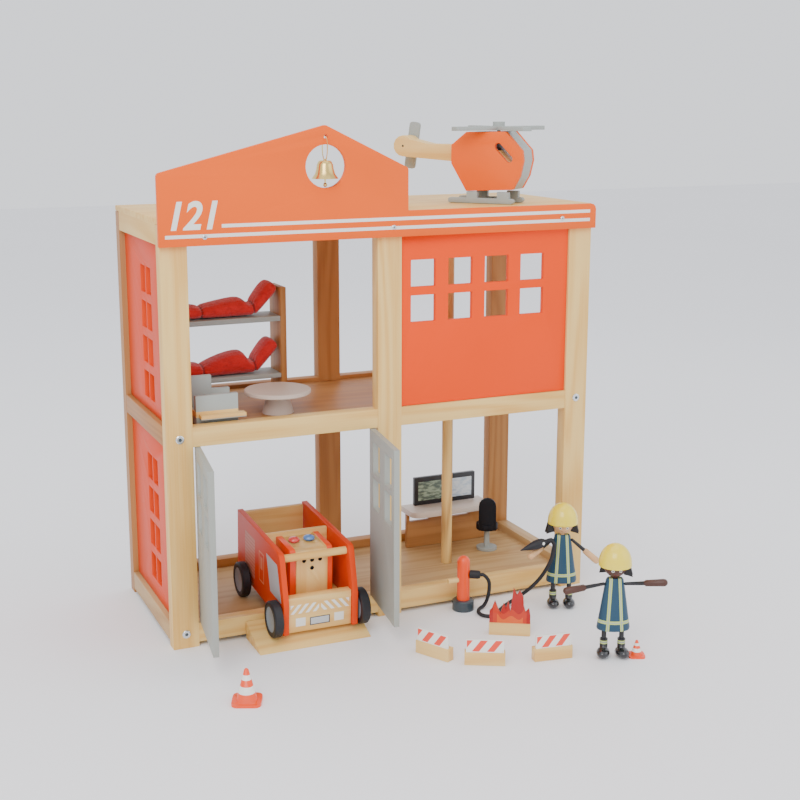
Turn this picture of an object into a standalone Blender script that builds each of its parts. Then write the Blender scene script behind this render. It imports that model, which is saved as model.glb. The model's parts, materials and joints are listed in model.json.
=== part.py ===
"""Toy fire station: an open two-storey wooden play building with the toys set out round it.

Metres, +Z up. The front faces -Y, the ground is z = 0, and the origin is the middle of the
middle front post's foot. Each function makes one sub-part or one family of sub-parts.
"""
import math

import bmesh
import bpy
import numpy as np
from mathutils import Matrix, Vector

# Shared clearances and facet counts
FIT = 0.0003
OVERRUN = 0.005
WELD = 0.00001
ROUND = 20
SMALL_ROUND = 12

# Station: overall sizes
WIDTH = 0.500
DEPTH = 0.200
POST_W = 0.028
POST_D = 0.016
POST_TOP = 0.4492

# Station: rails and boards
RAIL_H = 0.0207
RAIL_INSET = 0.0006
LOW_RAIL_Z = 0.0050
MID_RAIL_Z = 0.2195
SIDE_RAIL_T = 0.016
BOARD_T = 0.005
LOW_FLOOR_Z = 0.016
HIGH_FLOOR_Z = 0.236
ROOF_T = 0.006

# Places that follow from the station's sizes
BAY = (WIDTH - POST_W) / 2
POST_XS = (-BAY, 0, BAY)
BACK_Y = DEPTH - POST_D
FACE_Y = -POST_D / 2
INNER_Y = POST_D / 2 + FIT
INNER_BACK_Y = BACK_Y - POST_D / 2 - FIT
TOP_RAIL_Z = POST_TOP - RAIL_H
ROOF_Z = POST_TOP + FIT + ROOF_T
BAY_INNER = BAY - POST_W / 2
MID_POST_HALF = POST_W / 2

# Orientations of flat plates whose outline is drawn in their own X and Y
FLAT = Matrix.Identity(4)
FRONT = Matrix.Rotation(math.radians(90), 4, "X")
SIDE = Matrix(((0, 0, 1, 0), (1, 0, 0, 0), (0, 1, 0, 0), (0, 0, 0, 1)))

# Colours of the toy's finishes: base colour, roughness and metallic value
FINISHES = {
    "pine": ((0.80, 0.60, 0.34), 0.55, 0.0),
    "orange_paint": ((0.86, 0.17, 0.04), 0.40, 0.0),
    "grey_paint": ((0.55, 0.57, 0.54), 0.45, 0.0),
    "red_paint": ((0.72, 0.06, 0.03), 0.35, 0.0),
    "blue_paint": ((0.10, 0.30, 0.62), 0.35, 0.0),
    "black_paint": ((0.02, 0.02, 0.025), 0.45, 0.0),
    "white_paint": ((0.86, 0.86, 0.84), 0.45, 0.0),
    "teal_felt": ((0.05, 0.26, 0.30), 0.90, 0.0),
    "red_cloth": ((0.62, 0.02, 0.03), 0.90, 0.0),
    "black_rubber": ((0.02, 0.02, 0.02), 0.70, 0.0),
    "yellow_paint": ((0.85, 0.66, 0.04), 0.40, 0.0),
    "brass": ((0.78, 0.58, 0.22), 0.28, 1.0),
}


def named_collection(name):
    """Make an empty collection of the scene."""
    collection = bpy.data.collections.new(name)
    bpy.context.scene.collection.children.link(collection)
    return collection


for old in list(bpy.data.objects):
    bpy.data.objects.remove(old, do_unlink=True)
for old in list(bpy.data.collections):
    bpy.data.collections.remove(old)
PARTS = named_collection("toy_fire_station")
CUTTERS = named_collection("cutters")


def paint(name, finish):
    """A Principled material of the piece's own, in one of the finishes."""
    colour, roughness, metallic = FINISHES[finish]
    made = bpy.data.materials.new(name + "_" + finish)
    made.use_nodes = True
    shader = made.node_tree.nodes["Principled BSDF"]
    shader.inputs["Base Color"].default_value = (*colour, 1.0)
    shader.inputs["Roughness"].default_value = roughness
    shader.inputs["Metallic"].default_value = metallic
    return made


def part(name, finish, data, place=None):
    """Put a mesh or a curve among the parts, at its place in the world."""
    obj = bpy.data.objects.new(name, data)
    data.materials.clear()
    data.materials.append(paint(name, finish))
    PARTS.objects.link(obj)
    if place is not None:
        obj.matrix_world = place
    return obj


def combine(obj, operation, mesh):
    """Cut a mesh out of the piece or fuse one to it, in the piece's own axes."""
    tool = bpy.data.objects.new(obj.name + "_" + operation.lower(), mesh)
    tool.parent = obj
    tool.hide_render = True
    tool.display_type = "WIRE"
    CUTTERS.objects.link(tool)
    step = obj.modifiers.new(operation.title(), "BOOLEAN")
    step.operation = operation
    step.solver = "EXACT"
    step.object = tool


def cut(obj, *meshes):
    for mesh in meshes:
        combine(obj, "DIFFERENCE", mesh)


def fuse(obj, *meshes):
    for mesh in meshes:
        combine(obj, "UNION", mesh)


def smooth(mesh, angle=40):
    """Shade the round faces smooth and keep the creases."""
    mesh.shade_smooth()
    mesh.set_sharp_from_angle(angle=math.radians(angle))
    return mesh


def mesh_from(bm, name):
    mesh = bpy.data.meshes.new(name)
    bm.to_mesh(mesh)
    bm.free()
    return mesh


def box(low, high):
    """A block between two opposite corners."""
    low = Vector(low)
    high = Vector(high)
    bm = bmesh.new()
    bmesh.ops.create_cube(bm, size=1)
    bmesh.ops.scale(bm, vec=high - low, verts=bm.verts)
    bmesh.ops.translate(bm, vec=(low + high) / 2, verts=bm.verts)
    return mesh_from(bm, "block")


def rod(start, end, radius, end_radius=None, sides=ROUND):
    """A round bar or a cone between two points."""
    start = Vector(start)
    end = Vector(end)
    run = end - start
    bm = bmesh.new()
    top = radius if end_radius is None else end_radius
    bmesh.ops.create_cone(
        bm, cap_ends=True, segments=sides, radius1=radius, radius2=top, depth=run.length
    )
    turn = run.to_track_quat("Z", "Y").to_matrix().to_4x4()
    bmesh.ops.transform(bm, matrix=Matrix.Translation((start + end) / 2) @ turn, verts=bm.verts)
    return smooth(mesh_from(bm, "rod"))


def ball(centre, radii, sides=SMALL_ROUND, rings=8):
    """A sphere or an ellipsoid."""
    bm = bmesh.new()
    bmesh.ops.create_uvsphere(bm, u_segments=sides, v_segments=rings, radius=1)
    bmesh.ops.scale(bm, vec=Vector(radii), verts=bm.verts)
    bmesh.ops.translate(bm, vec=Vector(centre), verts=bm.verts)
    return smooth(mesh_from(bm, "ball"))


def welded(obj):
    """The evaluated curve or modified object as one mesh with its caps welded."""
    bpy.context.view_layer.update()
    evaluated = obj.evaluated_get(bpy.context.evaluated_depsgraph_get())
    mesh = bpy.data.meshes.new_from_object(evaluated)
    bm = bmesh.new()
    bm.from_mesh(mesh)
    bmesh.ops.remove_doubles(bm, verts=bm.verts, dist=WELD)
    bmesh.ops.recalc_face_normals(bm, faces=bm.faces)
    bm.to_mesh(mesh)
    bm.free()
    bpy.data.objects.remove(obj, do_unlink=True)
    return mesh


def slab(outline, thickness, facing=FLAT, at=(0, 0, 0), holes=()):
    """A flat plate from its outline, centred on its thickness."""
    curve = bpy.data.curves.new("outline", "CURVE")
    curve.dimensions = "2D"
    curve.fill_mode = "BOTH"
    curve.extrude = thickness / 2
    for points in (outline, *holes):
        spline = curve.splines.new("POLY")
        spline.points.add(len(points) - 1)
        for point, (x, y) in zip(spline.points, points):
            point.co = (x, y, 0, 1)
        spline.use_cyclic_u = True
    drawn = bpy.data.objects.new("outline", curve)
    CUTTERS.objects.link(drawn)
    mesh = welded(drawn)
    mesh.transform(Matrix.Translation(at) @ facing)
    return smooth(mesh, 30)


def turned(profile, sides=ROUND, at=(0, 0, 0)):
    """A lathe form; the profile's radius and height pairs run from the top to the bottom."""
    bm = bmesh.new()
    ring = [bm.verts.new((radius, 0, height)) for radius, height in profile]
    for above, below in zip(ring, ring[1:]):
        bm.edges.new((above, below))
    drawn = bpy.data.objects.new("profile", mesh_from(bm, "profile"))
    CUTTERS.objects.link(drawn)
    screw = drawn.modifiers.new("Screw", "SCREW")
    screw.steps = sides
    screw.render_steps = sides
    screw.use_merge_vertices = True
    screw.merge_threshold = WELD
    mesh = welded(drawn)
    mesh.transform(Matrix.Translation(at))
    return smooth(mesh)


def tube(points, radius, resolution=2):
    """A round wire or hose through the points, with its ends closed."""
    curve = bpy.data.curves.new("wire", "CURVE")
    curve.dimensions = "3D"
    curve.bevel_depth = radius
    curve.bevel_resolution = resolution
    curve.use_fill_caps = True
    spline = curve.splines.new("POLY")
    spline.points.add(len(points) - 1)
    for point, co in zip(spline.points, points):
        point.co = (*co, 1)
    return curve


def tube_mesh(points, radius, resolution=2):
    """The same wire as a closed mesh, to be cut or fused."""
    drawn = bpy.data.objects.new("wire", tube(points, radius, resolution))
    CUTTERS.objects.link(drawn)
    return smooth(welded(drawn))


def arc(centre, radii, start, stop, steps):
    """Points on a round or oval arc, from one angle to the other in degrees."""
    turns = np.radians(np.linspace(start, stop, steps + 1))
    return [(centre[0] + radii[0] * math.cos(t), centre[1] + radii[1] * math.sin(t)) for t in turns]


def circle(centre, radius, sides=ROUND):
    return arc(centre, (radius, radius), 0, 360, sides)[:-1]


def oblong(low, high):
    """The outline of a rectangle."""
    return [low, (high[0], low[1]), high, (low[0], high[1])]


def filleted(corners, steps=3):
    """An outline whose corners (x, y, radius) are rounded."""
    outline = []
    count = len(corners)
    for index, (x, y, radius) in enumerate(corners):
        here = Vector((x, y))
        if not radius:
            outline.append((x, y))
            continue
        before = (Vector(corners[index - 1][:2]) - here).normalized()
        after = (Vector(corners[(index + 1) % count][:2]) - here).normalized()
        half = before.angle(after) / 2
        centre = here + (before + after).normalized() * radius / math.sin(half)
        start = here + before * radius / math.tan(half) - centre
        stop = here + after * radius / math.tan(half) - centre
        sweep = start.angle_signed(stop)
        for step in range(steps + 1):
            spoke = start.copy()
            spoke.rotate(Matrix.Rotation(-sweep * step / steps, 2))
            outline.append(tuple(centre + spoke))
    return outline


def smooth_route(points, spacing):
    """Evenly spaced points on a smooth curve through the hand-chosen points."""
    points = [Vector(point) for point in points]
    ends = [2 * points[0] - points[1], *points, 2 * points[-1] - points[-2]]
    fine = []
    samples = 24
    for before, start, stop, after in zip(ends, ends[1:], ends[2:], ends[3:]):
        for step in range(samples):
            t = step / samples
            bend = 2 * before - 5 * start + 4 * stop - after
            twist = 3 * start - before - 3 * stop + after
            fine.append((2 * start + (stop - before) * t + bend * t**2 + twist * t**3) / 2)
    fine.append(points[-1])
    lengths = [0]
    for here, there in zip(fine, fine[1:]):
        lengths.append(lengths[-1] + (there - here).length)
    count = max(3, round(lengths[-1] / spacing) + 1)
    marks = np.linspace(0, lengths[-1], count)
    axes = [np.interp(marks, lengths, [point[axis] for point in fine]) for axis in range(3)]
    return [Vector(co) for co in zip(*axes)]


# Gable board on the front of the roof
FASCIA_T = 0.006
FASCIA_OVERHANG = 0.002
FASCIA_BOTTOM = 0.428
GABLE_SHOULDER_Z = 0.5005
GABLE_PEAK = (-0.0744, 0.5458)
GABLE_RIGHT_X = 0.019
FASCIA_CORNER_R = 0.006
GABLE_CORNER_R = 0.004
BELL_OPENING_Z = 0.504
BELL_OPENING_R = 0.0222
WIRE_HOLE_Z = 0.534
WIRE_HOLE_R = 0.0022

# Window panel of the upper right bay
PANEL_T = 0.006
WINDOW_PANEL_SETBACK = 0.003
WINDOW = 0.0295
WINDOW_PITCH_X = 0.045
WINDOW_PITCH_Z = 0.0387
WINDOW_FIRST = (0.0412, 0.3478)
WINDOW_COLUMNS = 4
WINDOW_ROWS = 2

# Panels of the left side
SIDE_PANEL_SETBACK = 0.006
SIDE_WINDOW = (0.0205, 0.029)
SIDE_WINDOW_PITCH = (0.024, 0.0385)
SIDE_WINDOW_FIRST_Y = 0.071
SIDE_WINDOW_DROP = 0.044
SIDE_WINDOW_COLUMNS = 2
SIDE_WINDOW_ROWS = 4

# Slide pole and its hatch
POLE_AT = (0.1155, 0.0835)
POLE_R = 0.0065
HATCH = 0.062

# Doors
DOOR_T = 0.006
DOOR_LENGTH = 0.098
DOOR_PIN_R = 0.0015
DOOR_PIN_HOLE_R = 0.0018
DOOR_PIN_LENGTH = 0.004
DOOR_AXIS_IN = 0.0055
DOOR_AXIS_Y = -0.0045
DOOR_LEFT_OPEN = 98
DOOR_RIGHT_OPEN = 82
PANE = (0.0265, 0.034)
PANE_PITCH = (0.0464, 0.040)
PANE_FIRST = (0.0278, 0.150)

# Ramp in front of the left bay
RAMP_LEFT_X = -0.170
RAMP_RIGHT_X = -0.044
RAMP_TOP = 0.0197
RAMP_RUN = 0.049
RAMP_LIP = 0.0006

# Bell in the gable
BELL_RIM_R = 0.014
BELL_RIM_Z = 0.4914
BELL_CROWN_Z = 0.5098
BELL_WALL = 0.0008
CLAPPER_R = 0.0022
CLAPPER_Z = 0.4849
CLAPPER_STEM_R = 0.0008
BELL_WIRE_R = 0.0006
BELL_WIRE_HALF = 0.0075

RAMP_BACK_Y = FACE_Y - FIT
FASCIA_Y = FACE_Y - FIT - FASCIA_T / 2
DOOR_BOTTOM = LOW_RAIL_Z + RAIL_H + FIT * 2
DOOR_TOP = MID_RAIL_Z - FIT * 2
DOOR_AXIS_XS = (-BAY_INNER + DOOR_AXIS_IN, -MID_POST_HALF - DOOR_AXIS_IN)


def ladder_frame(name, row_y, outward):
    """Three posts joined by three rails that stand back a little on the outer side."""
    outer = row_y + outward * (POST_D / 2 - RAIL_INSET)
    inner = row_y - outward * POST_D / 2
    near, far = sorted((outer, inner))
    posts = []
    for x in POST_XS:
        low = (x - POST_W / 2, row_y - POST_D / 2, 0)
        high = (x + POST_W / 2, row_y + POST_D / 2, POST_TOP)
        posts.append(box(low, high))
    frame = part(name, "pine", posts[0])
    fuse(frame, *posts[1:])
    for z in (LOW_RAIL_Z, MID_RAIL_Z, TOP_RAIL_Z):
        fuse(frame, box((-BAY, near, z), (BAY, far, z + RAIL_H)))
    return frame


def front_frame():
    """The front ladder frame with the blind holes of the door pins."""
    frame = ladder_frame("front_frame", 0, -1)
    depth = DOOR_PIN_LENGTH + FIT
    for x in DOOR_AXIS_XS:
        top = LOW_RAIL_Z + RAIL_H
        cut(frame, rod((x, DOOR_AXIS_Y, top - depth), (x, DOOR_AXIS_Y, top + FIT),
                       DOOR_PIN_HOLE_R, sides=SMALL_ROUND))
        cut(frame, rod((x, DOOR_AXIS_Y, MID_RAIL_Z - FIT), (x, DOOR_AXIS_Y, MID_RAIL_Z + depth),
                       DOOR_PIN_HOLE_R, sides=SMALL_ROUND))


def floor_section(top, rail_z):
    """Outline of a floor board between its two side rails, seen from the front."""
    out = WIDTH / 2
    rail = out - SIDE_RAIL_T
    under = top - BOARD_T
    rail_top = rail_z + RAIL_H
    right = [(rail, under), (rail, rail_z), (out, rail_z), (out, rail_top), (rail, rail_top), (rail, top)]
    return right + [(-x, z) for x, z in reversed(right)]


def floors():
    """Two floor boards with their side rails; the upper one has the pole's hatch."""
    length = INNER_BACK_Y - INNER_Y
    middle = (0, (INNER_Y + INNER_BACK_Y) / 2, 0)
    part("lower_floor", "pine", slab(floor_section(LOW_FLOOR_Z, LOW_RAIL_Z), length, FRONT, middle))
    upper = part("upper_floor", "pine",
                 slab(floor_section(HIGH_FLOOR_Z, MID_RAIL_Z), length, FRONT, middle))
    x, y = POLE_AT
    cut(upper, box((x - HATCH / 2, y - HATCH / 2, HIGH_FLOOR_Z - BOARD_T - OVERRUN),
                   (x + HATCH / 2, y + HATCH / 2, HIGH_FLOOR_Z + OVERRUN)))


def roof_deck():
    """Roof board on the posts, with a side rail below each end."""
    deck = part("roof_deck", "pine", box((-WIDTH / 2, FACE_Y, POST_TOP + FIT),
                                         (WIDTH / 2, BACK_Y + POST_D / 2, ROOF_Z)))
    for x in (-WIDTH / 2, WIDTH / 2 - SIDE_RAIL_T):
        fuse(deck, box((x, INNER_Y, TOP_RAIL_Z), (x + SIDE_RAIL_T, INNER_BACK_Y, POST_TOP + 2 * FIT)))


def gable_fascia():
    """Low board across the roof's edge that steps up to an uneven gable on the left."""
    half = WIDTH / 2 + FASCIA_OVERHANG
    corners = [
        (-half, FASCIA_BOTTOM, 0),
        (half, FASCIA_BOTTOM, 0),
        (half, ROOF_Z, FASCIA_CORNER_R),
        (GABLE_RIGHT_X, ROOF_Z, 0),
        (GABLE_RIGHT_X, GABLE_SHOULDER_Z, GABLE_CORNER_R),
        (*GABLE_PEAK, GABLE_CORNER_R),
        (-half, GABLE_SHOULDER_Z, GABLE_CORNER_R),
    ]
    x = GABLE_PEAK[0]
    bell_opening = circle((x, BELL_OPENING_Z), BELL_OPENING_R, 28)
    holes = (bell_opening, circle((x, WIRE_HOLE_Z), WIRE_HOLE_R, SMALL_ROUND))
    part("gable_fascia", "orange_paint",
         slab(filleted(corners), FASCIA_T, FRONT, (0, FASCIA_Y, 0), holes))


def windowed(outline, thickness, facing, at, size, firsts, pitch, counts):
    """A panel with a grid of rectangular windows."""
    holes = []
    for row in range(counts[1]):
        for column in range(counts[0]):
            x = firsts[0] + column * pitch[0]
            z = firsts[1] + row * pitch[1]
            holes.append(oblong((x - size[0] / 2, z - size[1] / 2), (x + size[0] / 2, z + size[1] / 2)))
    return slab(outline, thickness, facing, at, holes)


def wall_panels():
    """Front window panel and the two left side panels."""
    face = oblong((MID_POST_HALF + FIT, MID_RAIL_Z + RAIL_H + FIT), (BAY_INNER - FIT, TOP_RAIL_Z - FIT))
    part("window_panel", "orange_paint",
         windowed(face, PANEL_T, FRONT, (0, FACE_Y + WINDOW_PANEL_SETBACK + PANEL_T / 2, 0),
                  (WINDOW, WINDOW), WINDOW_FIRST, (WINDOW_PITCH_X, WINDOW_PITCH_Z),
                  (WINDOW_COLUMNS, WINDOW_ROWS)))
    x = -WIDTH / 2 + SIDE_PANEL_SETBACK + PANEL_T / 2
    drop = SIDE_WINDOW_DROP + (SIDE_WINDOW_ROWS - 1) * SIDE_WINDOW_PITCH[1]
    for name, rail_z, top in (("side_panel_lower", LOW_RAIL_Z, MID_RAIL_Z),
                              ("side_panel_upper", MID_RAIL_Z, TOP_RAIL_Z)):
        side = oblong((INNER_Y, rail_z + RAIL_H + FIT), (INNER_BACK_Y, top - FIT))
        part(name, "orange_paint",
             windowed(side, PANEL_T, SIDE, (x, 0, 0), SIDE_WINDOW,
                      (SIDE_WINDOW_FIRST_Y, top - FIT - drop), SIDE_WINDOW_PITCH,
                      (SIDE_WINDOW_COLUMNS, SIDE_WINDOW_ROWS)))


def slide_pole():
    part("slide_pole", "pine", rod((*POLE_AT, LOW_FLOOR_Z + FIT), (*POLE_AT, POST_TOP), POLE_R))


def door(name, axis_x, side, opened):
    """A door with four panes, a round hinge edge and a pin at each end of it."""
    radius = DOOR_T / 2
    height = DOOR_TOP - DOOR_BOTTOM
    plan = arc((0, 0), (radius, radius), 90, 270, 6) + [(DOOR_LENGTH, -radius), (DOOR_LENGTH, radius)]
    leaf = part(name, "grey_paint", slab(plan, height, FLAT, (0, 0, DOOR_BOTTOM + height / 2)))
    for z, way in ((DOOR_BOTTOM, -1), (DOOR_TOP, 1)):
        fuse(leaf, rod((0, 0, z - way * DOOR_PIN_LENGTH), (0, 0, z + way * DOOR_PIN_LENGTH),
                       DOOR_PIN_R, sides=SMALL_ROUND))
    for column in range(2):
        for row in range(2):
            x = PANE_FIRST[0] + column * PANE_PITCH[0]
            z = PANE_FIRST[1] + row * PANE_PITCH[1]
            cut(leaf, box((x - PANE[0] / 2, -DOOR_T, z - PANE[1] / 2),
                          (x + PANE[0] / 2, DOOR_T, z + PANE[1] / 2)))
    closed = 0 if side < 0 else 180
    leaf.location = (axis_x, DOOR_AXIS_Y, 0)
    leaf.rotation_euler = (0, 0, math.radians(closed + side * opened))


def ramp():
    """Wedge against the front of the low rail, with a thin lip at its toe."""
    toe = RAMP_BACK_Y - RAMP_RUN
    section = [(RAMP_BACK_Y, 0), (RAMP_BACK_Y, RAMP_TOP), (toe, RAMP_LIP), (toe, 0)]
    middle = ((RAMP_LEFT_X + RAMP_RIGHT_X) / 2, 0, 0)
    part("ramp", "pine", slab(section, RAMP_RIGHT_X - RAMP_LEFT_X, SIDE, middle))


def alarm_bell():
    """Thin-walled bell that hangs from a wire loop through the gable's small hole."""
    x = GABLE_PEAK[0]
    height = BELL_CROWN_Z - BELL_RIM_Z
    outer_shares = [(0, 1), (0.40, 1), (0.50, 0.94), (0.60, 0.78), (0.66, 0.50), (0.76, 0.26),
                    (0.94, 0.07), (1, 0)]
    outside = [(r * BELL_RIM_R, BELL_RIM_Z + z * height) for r, z in outer_shares]
    inside = [(max(r - BELL_WALL, 0), z - BELL_WALL) for r, z in outside[:-1]]
    inside.append((BELL_RIM_R - BELL_WALL, BELL_RIM_Z))
    shell = outside + inside[::-1]
    # The bell hangs on the wire, so its own axes start at the hole that carries the wire.
    at = (0, 0, -WIRE_HOLE_Z)
    bell = part("alarm_bell", "brass", turned(shell, 28, at))
    fuse(bell, rod((0, 0, BELL_CROWN_Z - BELL_WALL / 2 - WIRE_HOLE_Z),
                   (0, 0, CLAPPER_Z - WIRE_HOLE_Z), CLAPPER_STEM_R, sides=8))
    fuse(bell, ball((0, 0, CLAPPER_Z - WIRE_HOLE_Z), (CLAPPER_R,) * 3))
    top = WIRE_HOLE_R - BELL_WIRE_R - FIT
    bottom = BELL_CROWN_Z - WIRE_HOLE_Z
    half = (top - bottom) / 2
    loop = arc((0, top - half), (BELL_WIRE_HALF, half), -90, 270, 30)
    fuse(bell, tube_mesh([(0, y, z) for y, z in loop[1:-1]], BELL_WIRE_R, 1))
    fuse(bell, ball((0, 0, bottom), (BELL_WIRE_R * 3,) * 3, 10, 6))
    bell.location = (x, FASCIA_Y, WIRE_HOLE_Z)


# Fire engine, measured from the middle of its rear axle; it drives towards -Y
ENGINE_X = -0.098
ENGINE_REAR_Y = 0.075
ENGINE_W = 0.0852
ENGINE_SIDE_T = 0.0063
ENGINE_NOSE = 0.123
ENGINE_TAIL = 0.039
ENGINE_TOP = 0.070
ENGINE_SILL = -0.004
ENGINE_SKIRT = -0.017
SKIRT_REAR = 0.105
SKIRT_RISE = 0.015
NOSE_LEAN_FROM = 0.020
NOSE_LEAN = 0.015
NOSE_R = 0.008
WHEELBASE = 0.113
WHEEL_R = 0.020
WHEEL_T = 0.0100
WHEEL_GAP = 0.0020
WHEEL_FACE_R = 0.0135
WHEEL_DISH = 0.0008
WHEEL_EDGE = 0.0014
AXLE_R = 0.0018
AXLE_HOLE_R = 0.0022
BUMPER_T = 0.0105
BUMPER_SETBACK = 0.0035
BUMPER_BOTTOM = -0.0165
BUMPER_TOP = 0.0230
DECK_BOTTOM = 0.0040
DECK_T = 0.0050
DIVIDER_AT = 0.0445
DIVIDER_T = 0.0050
DIVIDER_TOP = 0.0685
TAILBOARD_T = 0.0060
TAILBOARD_TOP = 0.0675
GRAB_R = 0.00425
GRAB_AT = (-0.101, 0.0620)

# Sound block of the fire engine
BLOCK_W = 0.0360
BLOCK_FRONT = 0.0940
BLOCK_TOP = 0.0630
BLOCK_SLOPE = 0.0040
CHEEK_T = 0.0065
CHEEK_RISE = 0.0025
CHEEK_SETBACK = 0.0020
CHEEK_W = 0.0110
CHEEK_R = 0.0045
SOUND_HOLE_R = 0.0021
SOUND_HOLE_DEPTH = 0.0040
SOUND_HOLE_Z = 0.0530
SOUND_HOLE_PITCH = 0.0092
BUTTON_Y = -0.062
BUTTON_XS = {"engine_button_red": -0.0095, "engine_button_blue": 0.0080}
BUTTON_CAP_R = 0.0064
BUTTON_CAP_H = 0.0042
BUTTON_STEM_R = 0.0030
BUTTON_STEM_L = 0.0080
BUTTON_TRAVEL = 0.0015

# Helicopter, measured from the roof below the middle of its body; its nose is its own +X
HELI_AT = (0.147, 0.045)
HELI_YAW = -50
HELI_BODY_L = 0.0873
HELI_BODY_H = 0.0665
HELI_BODY_X = 0.0030
HELI_BODY_Z = 0.0135
HELI_CORE_T = 0.0240
HELI_PLATE_T = 0.0060
HELI_SLOT = ((0.0165, 0.0635), (0.0300, 0.0500))
HELI_SLOT_R = 0.0040
BOOM_END = (-0.104, 0.0625)
BOOM_END_R = 0.0120
BOOM_ROOT = (0.0430, 0.0650)
BOOM_WAIST_X = -0.0720
MAIN_ROTOR_L = 0.118
MAIN_ROTOR_W = 0.0130
ROTOR_T = 0.0045
ROTOR_GAP = 0.0010
MAIN_ROTOR_X = 0.0100
MAIN_ROTOR_YAW = 4
HUB_R = 0.0068
HUB_H = 0.0050
SHAFT_R = 0.0020
SHAFT_HOLE_R = 0.0024
SHAFT_L = 0.0090
TAIL_ROTOR_L = 0.0540
TAIL_ROTOR_W = 0.0130
TAIL_ROTOR_T = 0.0040
TAIL_ROTOR_LEAN = 8
SKID_L = 0.0800
SKID_X = -0.0040
SKID_H = 0.0060
SKID_T = 0.0060
SKID_LEGS = ((-0.0210, -0.0080), (0.0160, 0.0300))

ENGINE_Z = LOW_FLOOR_Z + FIT + WHEEL_R
ENGINE_INNER = ENGINE_W / 2 - ENGINE_SIDE_T
DECK_TOP = DECK_BOTTOM + DECK_T


def engine_pitch():
    """Angle by which the nose hangs down once the front wheels stand on the ramp."""
    slope = math.atan2(RAMP_TOP - RAMP_LIP, RAMP_RUN)
    rise = math.cos(slope) * (ENGINE_Z - RAMP_TOP) - math.sin(slope) * (ENGINE_REAR_Y - RAMP_BACK_Y)
    return slope - math.asin((WHEEL_R + FIT - rise) / WHEELBASE)


ENGINE_PLACE = (Matrix.Translation((ENGINE_X, ENGINE_REAR_Y, ENGINE_Z))
                @ Matrix.Rotation(engine_pitch(), 4, "X"))


def engine_box():
    """Front board, deck, divider and tailboard in one; the front axle runs through the bumper."""
    nose = -ENGINE_NOSE + BUMPER_SETBACK
    bumper = nose + BUMPER_T
    divider = -DIVIDER_AT + DIVIDER_T
    tail = ENGINE_TAIL - TAILBOARD_T
    section = [
        (nose, BUMPER_BOTTOM), (bumper, BUMPER_BOTTOM), (bumper, DECK_BOTTOM),
        (ENGINE_TAIL, DECK_BOTTOM), (ENGINE_TAIL, TAILBOARD_TOP), (tail, TAILBOARD_TOP),
        (tail, DECK_TOP), (divider, DECK_TOP), (divider, DIVIDER_TOP), (-DIVIDER_AT, DIVIDER_TOP),
        (-DIVIDER_AT, DECK_TOP), (bumper, DECK_TOP), (bumper, BUMPER_TOP), (nose, BUMPER_TOP),
    ]
    body = part("engine_box", "pine", slab(section, 2 * (ENGINE_INNER - FIT), SIDE), ENGINE_PLACE)
    reach = ENGINE_INNER + OVERRUN
    cut(body, rod((-reach, -WHEELBASE, 0), (reach, -WHEELBASE, 0), AXLE_HOLE_R, sides=SMALL_ROUND))


def engine_side(name, way):
    """Side board with a raked, rounded nose, a low skirt in front and two axle holes."""
    rear = -SKIRT_REAR
    outline = filleted([
        (-ENGINE_NOSE, ENGINE_SKIRT, FIT * 3), (rear, ENGINE_SKIRT, 0),
        (rear + SKIRT_RISE, ENGINE_SILL, 0), (ENGINE_TAIL, ENGINE_SILL, FIT * 3),
        (ENGINE_TAIL, ENGINE_TOP, FIT * 3), (-ENGINE_NOSE + NOSE_LEAN, ENGINE_TOP, NOSE_R),
        (-ENGINE_NOSE, NOSE_LEAN_FROM, NOSE_R),
    ])
    holes = [circle((y, 0), AXLE_HOLE_R, SMALL_ROUND) for y in (-WHEELBASE, 0)]
    x = way * (ENGINE_W - ENGINE_SIDE_T) / 2
    part(name, "orange_paint", slab(outline, ENGINE_SIDE_T, SIDE, (x, 0, 0), holes), ENGINE_PLACE)


def wheelset(name, axle_y):
    """Two dished wheels on one axle, turned as a single lathe form."""
    outer = ENGINE_W / 2 + WHEEL_GAP + WHEEL_T
    inner = outer - WHEEL_T
    half = [
        (0, outer - WHEEL_DISH), (WHEEL_FACE_R, outer - WHEEL_DISH),
        (WHEEL_FACE_R + WHEEL_DISH, outer), (WHEEL_R - WHEEL_EDGE, outer),
        (WHEEL_R, outer - WHEEL_EDGE), (WHEEL_R, inner + WHEEL_EDGE),
        (WHEEL_R - WHEEL_EDGE, inner), (AXLE_R, inner),
    ]
    profile = half + [(radius, -x) for radius, x in half[::-1]]
    mesh = turned(profile, 24)
    mesh.transform(Matrix.Rotation(math.radians(90), 4, "Y"))
    part(name, "black_rubber", mesh, ENGINE_PLACE @ Matrix.Translation((0, axle_y, 0)))


def engine_grab_bar():
    reach = ENGINE_INNER - FIT
    part("engine_grab_bar", "pine", rod((-reach, *GRAB_AT), (reach, *GRAB_AT), GRAB_R), ENGINE_PLACE)


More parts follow.
